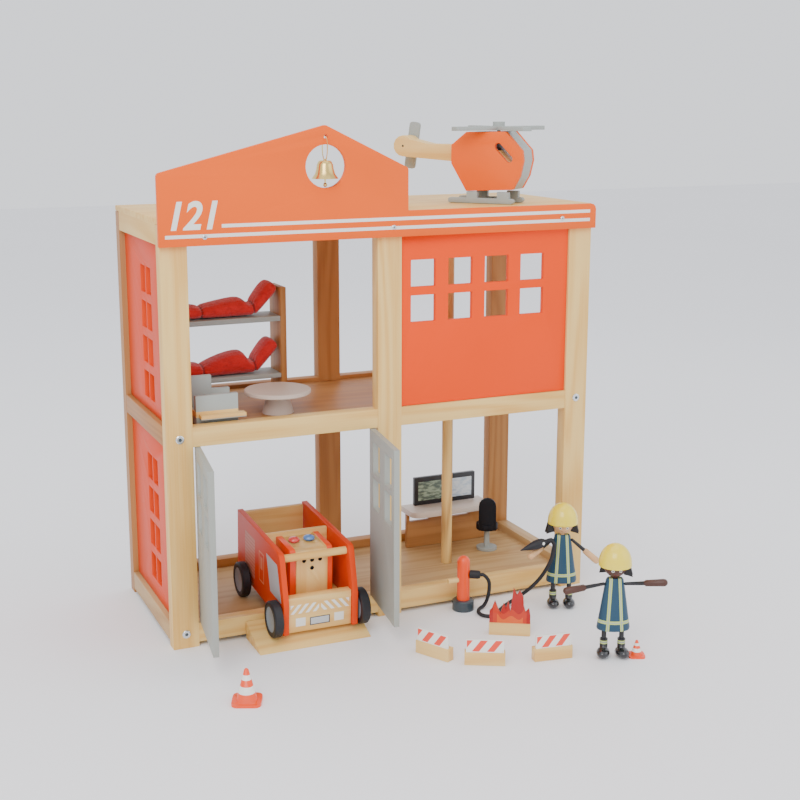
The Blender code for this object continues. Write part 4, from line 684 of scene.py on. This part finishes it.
def arm_look(name, shoulder, hand):
    """A dark bendy cord that ends in a bare wooden hand."""
    finish = Finish(name, shoulder)
    lathe = finish.noise((160, 160, 160))
    wood = finish.mix(hand, finish.darker(hand, 0.35), lathe.eased(0.4, 0.7) * 0.5)
    reach = squares(*finish.split()).root()
    return finish.set(finish.mix(NEAR_BLACK, wood, reach.over(HAND_REACH)), 0.52 - lathe * 0.1,
                      (lathe, GRAIN_DEPTH, 0.4), coat_weight=0.1)


def hair_look():
    """Black painted hair with strands that run down."""
    finish = Finish("black hair")
    strands = finish.noise((900, 900, 60))
    return finish.set(finish.mix(HAIR, colour(0.13, 0.11, 0.12), strands.eased(0.5, 0.8)),
                      0.52 - strands * 0.1, (strands, 0.0002, 0.6))


# Metal, rubber and lacquer
def metal_look(name, base, rough):
    """Metal with fine turning lines and slow smudges."""
    finish = Finish(name)
    smudge = finish.noise(60.0, 3.0)
    lines = finish.noise((200, 200, 3000))
    paint = finish.mix(base, finish.darker(base, 0.45), smudge.eased(0.45, 0.8) * 0.5)
    return finish.set(paint, rough + (smudge - 0.5) * 0.24, (lines, 0.00004, 0.25), metallic=1.0)


def rubber_look(name, grip):
    """Matt black rubber with a stipple of so many cells to a metre."""
    finish = Finish(name)
    stipple = finish.noise(grip, 3.0)
    paint = finish.mix(NEAR_BLACK, colour(0.20, 0.20, 0.21), finish.noise(30.0).eased(0.5, 0.8) * 0.4)
    return finish.set(paint, 0.62 + (stipple - 0.5) * 0.2, (stipple, COARSE_DEPTH, 0.4))


def button_look(name, base):
    finish = Finish(name)
    smudge = finish.noise(160.0)
    return finish.set(finish.mix(base, finish.mix(base, FULL_WHITE, 0.3), smudge * 0.4), 0.18 + smudge * 0.1,
                      (smudge, 0.00003, 0.2), coat_weight=0.6, coat_roughness=0.08)


# The mats' sewn seams: where each starts at the bottom and at the top, as shares of the mat's length
MAT_START = -0.1985
MAT_LENGTH = 0.118
MAT_RISE = 0.039
MAT_SEAM_SHARES = ((0.230, 0.230), (0.755, 0.722))
SEAM_REACH = 0.0017
SEAM_SHADE = (0.0018, 0.0003)
THREAD_PITCH = 0.00055


def cloth_look(word, shelf_top):
    """Plain-woven red cotton: crossing threads, slubs, painted shade along the seams and in the hollows of
    the folds, and a soft sheen.
    """
    finish, x, y, z = begin("red cotton, " + word)
    thread = 2 * math.pi / THREAD_PITCH
    warp = (x * thread + z * thread * 0.4).sine()
    weave = warp * (y * thread).sine() * 0.5 + 0.5
    slub = finish.noise((900, 140, 900), 3.0)
    deep = colour(0.66, 0.03, 0.04)
    paint = finish.mix(colour(0.88, 0.09, 0.08), deep, weave * 0.35 + slub * 0.35)
    paint = finish.mix(paint, colour(0.93, 0.18, 0.14), finish.noise(45.0, 3.0).eased(0.55, 0.8) * 0.4)
    for low, high in MAT_SEAM_SHARES:
        lean = (high - low) * MAT_LENGTH / MAT_RISE
        off = (x - (z - shelf_top) * lean - (MAT_START + low * MAT_LENGTH)).unsigned()
        # Painted shade along each seam's pressed-in line.
        paint = finish.mix(paint, colour(0.34, 0.02, 0.03), off.eased(*SEAM_SHADE) * 0.75)
    folds = finish.noise((150, 60, 260))
    # Painted shade in the hollows of the folds, where their relief is low.
    paint = finish.mix(paint, deep, folds.eased(0.55, 0.25) * 0.5)
    return finish.set(paint, 0.86 - weave * 0.08, (folds + weave * 0.10 + slub * 0.08, 0.0016, 0.8),
                      sheen_weight=0.25, sheen_roughness=0.5)


# Pieces: rigid nodes get their edges eased, so that light catches them as on sanded wood
MERGE = 0.000005
FLAT_ANGLE = math.radians(0.6)
EDGE_ANGLE = math.radians(30)
EASED_SHARP = 40
TURNED_SHARP = 38


def own_mesh(name, source):
    """A merged copy of a node's mesh with its flat faces made whole again."""
    bm = bmesh.new()
    bm.from_mesh(nodes[source].data)
    bmesh.ops.remove_doubles(bm, verts=bm.verts, dist=MERGE)
    bmesh.ops.dissolve_limit(bm, angle_limit=FLAT_ANGLE, verts=bm.verts, edges=bm.edges)
    mesh = mesh_from(name, bm)
    mesh.materials.clear()
    return mesh


def stand_in(name, node, mesh, material, sharp):
    """A piece that takes a node's place on the node's own body."""
    piece = add_piece(name, mesh, material, sharp)
    hand_over(piece, BODY_OF[node], node)
    return piece


def eased(node, width, material):
    """The node's own form with its sharp edges rounded."""
    blank = add_object(node + "_blank", own_mesh(node + "_blank", node))
    add_modifier(blank, "BEVEL", width=width, segments=2, limit_method="ANGLE", angle_limit=EDGE_ANGLE)
    mesh = evaluated_mesh(blank)
    bpy.data.objects.remove(blank)
    stand_in(node + "_eased", node, mesh, material, EASED_SHARP)


# Where the grain of a frame or floor turns: its posts, its side rails and the rails below the roof
POST_XS = (-0.236, 0.0, 0.236)
POST_HALF = 0.01402
SIDE_RAIL_X = 0.2339
ROOF_Z = 0.4494


def on_posts(x, y, z):
    return any_of(x.near(centre, POST_HALF) for centre in POST_XS)


def on_side_rails(x, y, z):
    return x.unsigned().over(SIDE_RAIL_X)


def below_roof(x, y, z):
    return z.under(ROOF_Z) * on_side_rails(x, y, z)


# Each edge radius and finish, and the nodes that have them
# Painted shade: darker pine for the pieces that stand inside the station.
SHADED_PINE = (PINE_SHADED, PINE_SHADED_LATE)
grey = painted("grey paint", GREY, 3.0, rough=0.46)
EASED = (
    (0.0010, pine("pine, front frame", 0, 1.0, turned=(2, on_posts)), "front_frame"),
    (0.0010, pine("pine, back frame", 0, 2.0, *SHADED_PINE, (2, on_posts)), "back_frame"),
    # The lower floor is in the darker low pine: painted shade of the lower room.
    (0.0008, pine("pine, lower floor", 0, 3.0, PINE_LOW_SHADED, PINE_LOW_SHADED_LATE, (1, on_side_rails)), "lower_floor"),
    (0.0008, pine("pine, upper floor", 0, 4.0, *SHADED_PINE, (1, on_side_rails)), "upper_floor"),
    (0.0008, pine("pine, roof", 0, 5.0, turned=(1, below_roof)), "roof_deck"),
    (0.0003, pine("pine, ramp", 0, 6.0), "ramp"),
    (0.0007, pine("pine, bunk ends", 2, 7.0, *SHADED_PINE), "bunk_end_left"),
    (0.0007, pine("pine, bunk end", 2, 7.5, *SHADED_PINE), "bunk_end_right"),
    (0.0006, engine_box_look(), "engine_box"),
    (0.0008, painted("orange paint, gable", ORANGE_LIGHT, 6.0, prints=fascia_print), "gable_fascia"),
    (0.0005, painted("orange paint", ORANGE, 1.0), "window_panel"),
    (0.0005, painted("orange paint, side panels", ORANGE_SIDE, 2.0), "side_panel_lower", "side_panel_upper"),
    (0.0004, painted("grey paint, doors", colour(0.63, 0.64, 0.61), 4.0, rough=0.44),
     "door_left", "door_right"),
    (0.0008, painted("orange paint, engine sides", ORANGE_SIDE, 7.0, prints=engine_side_print,
                     place=ENGINE_PLACE, turn=ENGINE_TURN), "engine_side_left", "engine_side_right"),
    (0.0004, sound_block_look(), "engine_sound_block"),
    (0.0007, painted("orange paint, helicopter", ORANGE_LIGHT, 2.0),
     "helicopter_plate_near", "helicopter_plate_far"),
    (0.0005, heli_core_look(), "helicopter_core"),
    (0.0004, grey, "helicopter_main_rotor", "helicopter_tail_rotor"),
    (0.0005, grey, "helicopter_skid_near", "helicopter_skid_far", "bunk_shelf_upper", "bunk_shelf_lower"),
    (0.0006, armchair_look(), "armchair"),
    (0.0005, desk_look(), "desk"),
    (0.0005, screen_look(), "monitor_board"),
    (0.0005, painted("black paint", NEAR_BLACK, 5.0, rough=0.5), "swivel_seat"),
    (0.0003, flame_look(), "flame_board"),
    *[(0.0003, barrier_look(word), "barrier_" + word) for word in BARRIERS],
)
for width, material, *members in EASED:
    for node in members:
        eased(node, width, material)

# Round pieces keep their own form with smooth shading
SHOULDERS = {
    "figure_a_arm_left": ((0.1801, -0.05758, 0.080), TAN),
    "figure_a_arm_right": ((0.2009, -0.06642, 0.080), TAN),
    "figure_b_arm_left": ((0.1576, -0.19958, 0.080), BROWN),
    "figure_b_arm_right": ((0.1784, -0.20842, 0.080), BROWN),
}
TURNED = {
    # The pole's late grain is the darker inner pine: painted shade.
    "slide_pole": pine("pine, pole", 2, 9.0, PINE, PINE_SHADED_LATE),
    "engine_grab_bar": pine("pine, grab bar", 0, 10.0),
    "round_table": painted("warm grey paint, table", colour(0.76, 0.69, 0.64), 8.0, rough=0.46),
    "swivel_stand": grey,
    "hydrant": hydrant_look(),
    "alarm_bell": metal_look("brass", (0.80, 0.58, 0.20, 1), 0.22),
    "engine_button_red": button_look("red button", colour(0.88, 0.10, 0.07)),
    "engine_button_blue": button_look("blue button", colour(0.25, 0.50, 0.78)),
    "engine_wheels_front": wheel_look("front wheels", -0.03782, 0.02998),
    "engine_wheels_rear": wheel_look("rear wheels", 0.075, 0.0363),
    "hose_coupling": rubber_look("black coupling", 900.0),
    "cone_left": cone_look("large cone", 0.035, ((0.30, 0.50), (0.68, 0.82))),
    "cone_right": cone_look("small cone", 0.018, ((0.32, 0.52), (0.68, 0.82))),
    "figure_a_body": doll_coat_look("a"),
    "figure_b_body": doll_coat_look("b"),
    "figure_a_head": doll_face_look("a", TAN),
    "figure_b_head": doll_face_look("b", BROWN),
    **{node: arm_look(node.replace("_", " "), *shoulder) for node, shoulder in SHOULDERS.items()},
}
turned = {node: stand_in(node + "_turned", node, own_mesh(node + "_turned", node), material, TURNED_SHARP)
          for node, material in TURNED.items()}

# A ball closes each arm's end in its seat in the coat, and the arm's root is slimmed to clear the seat
SHOULDER_BALL = 0.0017
ROOT_REACH, ROOT_SHARE = 0.003, 0.75


def make_shoulder(node, centre):
    root = [vertex for vertex in turned[node].data.vertices if (vertex.co - centre).length < ROOT_REACH]
    middle = sum((vertex.co for vertex in root), Vector()) / len(root)
    for vertex in root:
        vertex.co = middle + (vertex.co - middle) * ROOT_SHARE
    bm = bmesh.new()
    bmesh.ops.create_uvsphere(bm, u_segments=20, v_segments=12, radius=SHOULDER_BALL,
                              matrix=Matrix.Translation(centre))
    ball = add_piece(node + "_shoulder", mesh_from(node + "_shoulder", bm), TURNED[node])
    hand_over(ball, BODY_OF[node])


for node, (shoulder, hand) in SHOULDERS.items():
    make_shoulder(node, Vector(shoulder))


# Hair: a black bob round each head. Its section is in radii and heights, its spans in degrees
HAIR_SECTION = ((0.0118, 0.1004), (0.0156, 0.1004), (0.0168, 0.0950), (0.0184, 0.0884), (0.0140, 0.0896),
                (0.0092, 0.0906), (0.0108, 0.0950))
HAIR_SPANS = {"a": (-14, 194), "b": (-14, 142)}
HAIR_STEPS = 30
HAIR_ENDS_Z = 0.0900
HAIR_WAVE, HAIR_WAVES = 0.0005, 17


def make_hair(who, material):
    first, last = HAIR_SPANS[who]
    place = Matrix.Translation(DOLL_PLACES[who]) @ Matrix.Rotation(DOLL_TURN, 4, "Z")
    bm = bmesh.new()
    rings = []
    for step in range(HAIR_STEPS + 1):
        turn = math.radians(first + (last - first) * step / HAIR_STEPS)
        wave = HAIR_WAVE * math.sin(turn * HAIR_WAVES)
        rings.append([bm.verts.new(place @ around(radius, turn, z + wave if z < HAIR_ENDS_Z else z))
                      for radius, z in HAIR_SECTION])
    join_rings(bm, rings)
    bm.faces.new(rings[0])
    bm.faces.new(reversed(rings[-1]))
    bmesh.ops.recalc_face_normals(bm, faces=bm.faces)
    name = "figure_" + who + "_hair"
    hair = add_piece(name, mesh_from(name, bm), material, TURNED_SHARP)
    hand_over(hair, "doll_" + who + "_head")


black_hair = hair_look()
for who in HAIR_SPANS:
    make_hair(who, black_hair)


# Hose: a bendy tube from the hydrant's coupling to the nozzle
HOSE_R = 0.0021
HOSE_TURN = math.radians(-35)
HOSE_AIM = Vector((math.cos(HOSE_TURN), math.sin(HOSE_TURN), 0))
HYDRANT_R = 0.0073
COUPLING_Z, COUPLING_LENGTH = 0.0425, 0.0115
COUPLING_AT = Vector((*HYDRANT_PLACE[:2], COUPLING_Z))
HOSE_START = COUPLING_AT + HOSE_AIM * (HYDRANT_R + FIT + COUPLING_LENGTH + FIT)
NOZZLE_START = Vector((0.1650, -0.0700, 0.0845))
NOZZLE_TIP = Vector((0.1320, -0.0700, 0.0780))
GROUND = HOSE_R + FIT
ROUTE_STEP = 0.0030
ROUTE_SAMPLES = 24


def smooth_route(points, spacing):
    """Evenly spaced points on a smooth curve through the given points."""
    points = [Vector(point) for point in points]
    ends = [2 * points[0] - points[1], *points, 2 * points[-1] - points[-2]]
    fine = []
    for before, start, stop, after in zip(ends, ends[1:], ends[2:], ends[3:]):
        for step in range(ROUTE_SAMPLES):
            t = step / ROUTE_SAMPLES
            bend = 2 * before - 5 * start + 4 * stop - after
            twist = 3 * start - before - 3 * stop + after
            fine.append((2 * start + (stop - before) * t + bend * t**2 + twist * t**3) / 2)
    fine.append(points[-1])
    travelled = [0.0]
    for here, there in zip(fine, fine[1:]):
        travelled.append(travelled[-1] + (there - here).length)
    count = round(travelled[-1] / spacing)
    even, index = [], 0
    for number in range(count + 1):
        goal = travelled[-1] * number / count
        while index < len(fine) - 2 and travelled[index + 1] < goal:
            index += 1
        share = (goal - travelled[index]) / max(travelled[index + 1] - travelled[index], 1e-9)
        even.append(fine[index].lerp(fine[index + 1], min(share, 1)))
    return even


def make_hose():
    back = (NOZZLE_START - NOZZLE_TIP).normalized()
    end = NOZZLE_START + back * FIT
    route = [
        HOSE_START, HOSE_START + HOSE_AIM * HOSE_R * 2,
        (0.1085, -0.0405, 0.0350), (0.1100, -0.0385, 0.0230), (0.1098, -0.0345, 0.0110),
        (0.1060, -0.0335, 0.0035), (0.0985, -0.0375, GROUND), (0.0925, -0.0470, GROUND),
        (0.0935, -0.0575, GROUND), (0.1020, -0.0630, GROUND), (0.1115, -0.0585, GROUND),
        (0.1210, -0.0475, GROUND), (0.1320, -0.0390, GROUND), (0.1430, -0.0370, 0.0060),
        (0.1510, -0.0445, 0.0150), (0.1570, -0.0545, 0.0265), (0.1630, -0.0635, 0.0400),
        (0.1685, -0.0690, 0.0540), (0.1735, -0.0705, 0.0665), (0.1755, -0.0700, 0.0775),
        (0.1715, -0.0700, 0.0850), end + back * HOSE_R * 2, end,
    ]
    points = smooth_route(route, ROUTE_STEP)
    curve = bpy.data.curves.new("hose_line", "CURVE")
    give(curve, dimensions="3D", bevel_depth=HOSE_R, bevel_resolution=4, use_fill_caps=True)
    spline = curve.splines.new("POLY")
    spline.points.add(len(points) - 1)
    for spot, co in zip(spline.points, points):
        spot.co = (*co, 1)
    spline.use_smooth = True
    curve.materials.append(rubber_look("black hose", 1400.0))
    hose = add_object("hose_line", curve)
    hand_over(hose, "station", "hose")
    return hose, sum((b - a).length for a, b in zip(points, points[1:]))


# Nozzle: its outline as shares of its widest radius and of its length, with a rivet near its root
NOZZLE_R = 0.0055
NOZZLE_SHARES = ((0, 1), (0.10, 1), (0.16, 0.96), (0.34, 0.84), (0.58, 0.70), (0.80, 0.55), (0.95, 0.43),
                 (1, 0.33), (0.98, 0.24), (0.87, 0.15), (0.66, 0.09), (0.49, 0.05), (0.42, 0.02),
                 (0.39, 0), (0, 0))
NOZZLE_SIDES = 28
NOZZLE_MERGE = 0.000001
RIVET_X, RIVET_Z, RIVET_R = -0.0062, -0.0008, 0.0017


def nozzle_look():
    finish, x, y, z = begin("black nozzle", tuple(NOZZLE_START))
    rivet = squares(x - RIVET_X, z - RIVET_Z).under(RIVET_R**2) * y.under(0)
    stipple = finish.noise(1200.0, 3.0)
    return finish.set(finish.mix(NEAR_BLACK, WHITE, rivet), 0.60 + (stipple - 0.5) * 0.2,
                      (stipple, COARSE_DEPTH, 0.4))


def make_nozzle():
    """Leaf-shaped black nozzle with a white rivet near its root."""
    run = NOZZLE_TIP - NOZZLE_START
    bm = bmesh.new()
    turns = [2 * math.pi * side / NOZZLE_SIDES for side in range(NOZZLE_SIDES)]
    join_rings(bm, [[bm.verts.new(around(radius * NOZZLE_R, turn, along * run.length)) for turn in turns]
                    for radius, along in NOZZLE_SHARES])
    bmesh.ops.remove_doubles(bm, verts=bm.verts, dist=NOZZLE_MERGE)
    bmesh.ops.recalc_face_normals(bm, faces=bm.faces)
    bm.transform(Matrix.Translation(NOZZLE_START) @ run.to_track_quat("Z", "Y").to_matrix().to_4x4())
    nozzle = add_piece("nozzle_leaf", mesh_from("nozzle_leaf", bm), nozzle_look())
    hand_over(nozzle, "station", "hose_nozzle")
    return nozzle


hose, hose_length = make_hose()
nozzle = make_nozzle()


# Bunk mats: the frame's forms, filled by a short cloth simulation
MAT_SHELVES = {"upper": 0.329, "lower": 0.262}
MAT_VOXEL = 0.0012
MAT_SHRINK = 0.0006
MAT_CAP = 0.0008
MAT_LIFT = 0.0002
CLOTH_FRAMES = 12
CLOTH_SETTINGS = {"quality": 4, "use_pressure": True, "uniform_pressure_force": 4, "mass": 0.1,
                  "tension_stiffness": 12, "bending_stiffness": 0.2}
SEAM_DEPTH = 0.0015
GATHER_DEPTH, GATHER_PITCH, GATHER_REACHES = 0.00025, 0.0065, 3.5


def remeshed(mat):
    """The mat's form in even small faces, drawn in a little to leave room for the filling."""
    add_modifier(mat, "REMESH", mode="VOXEL", voxel_size=MAT_VOXEL)
    add_modifier(mat, "SMOOTH", factor=0.5, iterations=1)
    mesh = evaluated_mesh(mat)
    mat.modifiers.clear()
    for vertex, normal in zip(mesh.vertices, [vertex.normal.copy() for vertex in mesh.vertices]):
        vertex.co -= normal * MAT_SHRINK
    return mesh


def fill(mat):
    """Swells the mat's cloth by pressure, and no vertex by more than a cap."""
    cloth = mat.modifiers.new("cloth", "CLOTH")
    give(cloth.settings, **CLOTH_SETTINGS)
    cloth.settings.effector_weights.gravity = 0
    cloth.point_cache.frame_end = CLOTH_FRAMES
    scene = bpy.context.scene
    for step in range(1, CLOTH_FRAMES + 1):
        scene.frame_set(step)
    swollen = evaluated_mesh(mat)
    mat.modifiers.clear()
    scene.frame_set(1)
    for vertex, filled in zip(mat.data.vertices, swollen.vertices):
        push = filled.co - vertex.co
        vertex.co += push.normalized() * min(push.length, MAT_CAP)


def sew(mesh, shelf_top):
    """Presses in the seams and the gathers beside them, and keeps the mat on its shelf."""
    sewn = []
    for vertex in mesh.vertices:
        depth = 0
        for low, high in MAT_SEAM_SHARES:
            share = low + (high - low) * (vertex.co.z - shelf_top) / MAT_RISE
            off = (vertex.co.x - MAT_START - share * MAT_LENGTH) / SEAM_REACH
            gather = math.sin(vertex.co.y * 2 * math.pi / GATHER_PITCH)
            depth += SEAM_DEPTH * math.exp(-off * off)
            depth += GATHER_DEPTH * gather * math.exp(-((off / GATHER_REACHES) ** 2))
        sewn.append(vertex.co - vertex.normal * depth)
    for vertex, place in zip(mesh.vertices, sewn):
        vertex.co = (place.x, place.y, max(place.z, shelf_top + MAT_LIFT))


def make_mat(word, shelf_top):
    node = "bunk_bedding_" + word
    mat = add_piece(node + "_cloth", own_mesh(node + "_cloth", node), cloth_look(word, shelf_top))
    mat.data = remeshed(mat)
    fill(mat)
    sew(mat.data, shelf_top)
    mat.data.shade_smooth()
    hand_over(mat, "station", node)


for word, shelf_top in MAT_SHELVES.items():
    make_mat(word, shelf_top)


# The station's number: slanted pale digits on the gable's left
DIGITS_X = (-0.2395, -0.1905)
DIGITS_Z = (0.4443, 0.4730)
DIGITS_LIFT = 0.0001


def stretched(value, values, span):
    """Where a value lands when all values are stretched over a span."""
    low, high = min(values), max(values)
    return span[0] + (value - low) / (high - low) * (span[1] - span[0])


def make_digits():
    text = bpy.data.curves.new("station_number", "FONT")
    give(text, body="121", shear=0.25, offset=0.026, extrude=0.02)
    maker = add_object("station_number_text", text)
    mesh = evaluated_mesh(maker)
    bpy.data.objects.remove(maker)
    xs, ys = ([vertex.co[axis] for vertex in mesh.vertices] for axis in (0, 1))
    for vertex, x, y in zip(mesh.vertices, xs, ys):
        lift = DIGITS_LIFT if vertex.co.z > 0 else -DIGITS_LIFT
        vertex.co = (stretched(x, xs, DIGITS_X), FASCIA_FRONT - lift, stretched(y, ys, DIGITS_Z))
    mesh.materials.clear()
    mesh.materials.append(painted("white print", WHITE, 11.0, rough=0.4))
    hand_over(add_object("station_number", mesh), "station")


make_digits()


# Fastenings: one tree sets a headed bolt or screw on each given point
FASTENING_SIZES = ("Head Radius", "Head Height", "Socket Radius")
CROWN_TOP_SHARE, CROWN_HEIGHT_SHARE = 0.80, 0.45
SOCKET_DEPTH_SHARE = 1.06 * 1.96
HEAD_SIDES = 28


def fastening_tree():
    """A low head with a crown on it, and in the crown a socket, a dark disc of painted shade that stands out
    by a hair.
    """
    tree = bpy.data.node_groups.new("fastenings", "GeometryNodeTree")
    for way in ("INPUT", "OUTPUT"):
        tree.interface.new_socket("Geometry", in_out=way, socket_type="NodeSocketGeometry")
    for name, kind in (*[(size, "Float") for size in FASTENING_SIZES], ("Socket Sides", "Int"),
                       ("Turn", "Vector"), ("Metal", "Material"), ("Dark", "Material")):
        tree.interface.new_socket(name, in_out="INPUT", socket_type="NodeSocket" + kind)
    given = tree.nodes.new("NodeGroupInput").outputs
    radius, height = given["Head Radius"], given["Head Height"]

    def add(kind, **inputs):
        return add_node(tree, kind, {}, {key.replace("_", " "): value for key, value in inputs.items()})

    def times(value, share):
        return add_node(tree, "ShaderNodeMath", {"operation": "MULTIPLY"}, [value, share])

    def joined(*parts):
        node = tree.nodes.new("GeometryNodeJoinGeometry")
        for part in parts:
            tree.links.new(part, node.inputs[0])
        return node.outputs[0]

    head = add("GeometryNodeMeshCylinder", Vertices=HEAD_SIDES, Radius=radius, Depth=height)
    crown = add("GeometryNodeMeshCone", Vertices=HEAD_SIDES, Radius_Top=times(radius, CROWN_TOP_SHARE),
                Radius_Bottom=radius, Depth=times(height, CROWN_HEIGHT_SHARE))
    lift = add("ShaderNodeCombineXYZ", Z=times(height, 0.5))
    raised = add("GeometryNodeTransform", Geometry=crown, Translation=lift)
    socket = add("GeometryNodeMeshCylinder", Vertices=given["Socket Sides"], Radius=given["Socket Radius"],
                 Depth=times(height, SOCKET_DEPTH_SHARE))
    metal = add("GeometryNodeSetMaterial", Geometry=joined(head, raised), Material=given["Metal"])
    dark = add("GeometryNodeSetMaterial", Geometry=socket, Material=given["Dark"])
    one = add("GeometryNodeTransform", Geometry=joined(metal, dark), Rotation=given["Turn"])
    spread = add("GeometryNodeInstanceOnPoints", Points=given["Geometry"], Instance=one)
    solid = add("GeometryNodeRealizeInstances", Geometry=spread)
    tree.links.new(solid, tree.nodes.new("NodeGroupOutput").inputs[0])
    return tree


FRONT_TURN, BACK_TURN = math.radians(90), math.radians(-90)
FASTENING_SHARP = 30
BOLT, SCREW = (0.0045, 0.0012, 0.0020, 6), (0.0025, 0.0008, 0.0010, 4)
BOLT_SPOTS = ((-0.236, 0.016), (-0.236, 0.229), (0.236, 0.231), (0.236, 0.016))
SCREW_SPOTS = ((-0.205, 0.4366), (0.002, 0.4384), (0.208, 0.4403))
BOLT_FRONT_Y, BOLT_BACK_Y = -0.0084, 0.1924
SCREW_Y = FASCIA_FRONT - 0.0002
steel = metal_look("bright zinc", (0.72, 0.74, 0.76, 1), 0.25)
# Painted shade: the socket in each head is a dark disc, not a hollow.
socket_shade = metal_look("painted shade, sockets", (0.10, 0.12, 0.13, 1), 0.45)
fastenings = fastening_tree()


def fasten(name, y, spots, sizes, turn):
    mesh = bpy.data.meshes.new(name)
    mesh.from_pydata([(x, y, z) for x, z in spots], [], [])
    piece = add_object(name, mesh)
    modifier = piece.modifiers.new("fastenings", "NODES")
    modifier.node_group = fastenings
    values = dict(zip((*FASTENING_SIZES, "Socket Sides"), sizes))
    values.update({"Turn": (turn, 0, 0), "Metal": steel, "Dark": socket_shade})
    for item in fastenings.interface.items_tree:
        if item.name in values:
            modifier[item.identifier] = values[item.name]
    piece.update_tag()
    made = evaluated_mesh(piece)
    piece.modifiers.clear()
    piece.data = made
    made.set_sharp_from_angle(angle=math.radians(FASTENING_SHARP))
    hand_over(piece, "station")


fasten("front_bolts", BOLT_FRONT_Y, BOLT_SPOTS, BOLT, FRONT_TURN)
fasten("back_bolts", BOLT_BACK_Y, BOLT_SPOTS, BOLT, BACK_TURN)
fasten("gable_screws", SCREW_Y, SCREW_SPOTS, SCREW, FRONT_TURN)


# Floor and soft studio light: each lamp's name, place, size, power and tint
FLOOR_HALF = 6
SKY, SKY_STRENGTH = (0.93, 0.95, 1.0, 1), 1.35
AIM = Vector((0, 0.05, 0.22))
LAMPS = (("key", (-1.1, -1.5, 1.7), 1.2, 26, (1.0, 0.98, 0.95)),
         ("fill", (1.6, -1.2, 1.0), 1.6, 7, (0.95, 0.97, 1.0)),
         ("top", (0.1, 0.3, 2.0), 1.8, 10, (1.0, 1.0, 1.0)))


def set_stage():
    bm = bmesh.new()
    bmesh.ops.create_grid(bm, x_segments=1, y_segments=1, size=FLOOR_HALF)
    floor = add_object("studio_floor", mesh_from("studio_floor", bm))
    finish = Finish("studio floor")
    paint = finish.mix(colour(0.97, 0.97, 0.98), colour(0.95, 0.95, 0.96), finish.noise(1.2))
    floor.data.materials.append(finish.set(paint, 0.75))
    world = bpy.data.worlds.new("studio")
    bpy.context.scene.world = world
    world.use_nodes = True
    background = world.node_tree.nodes["Background"]
    background.inputs["Color"].default_value = SKY
    background.inputs["Strength"].default_value = SKY_STRENGTH
    for name, place, size, power, tint in LAMPS:
        light = give(bpy.data.lights.new(name, "AREA"), size=size, energy=power, color=tint)
        turn = (AIM - Vector(place)).to_track_quat("-Z", "Y").to_matrix().to_4x4()
        add_object(name, light).matrix_world = Matrix.Translation(place) @ turn


set_stage()
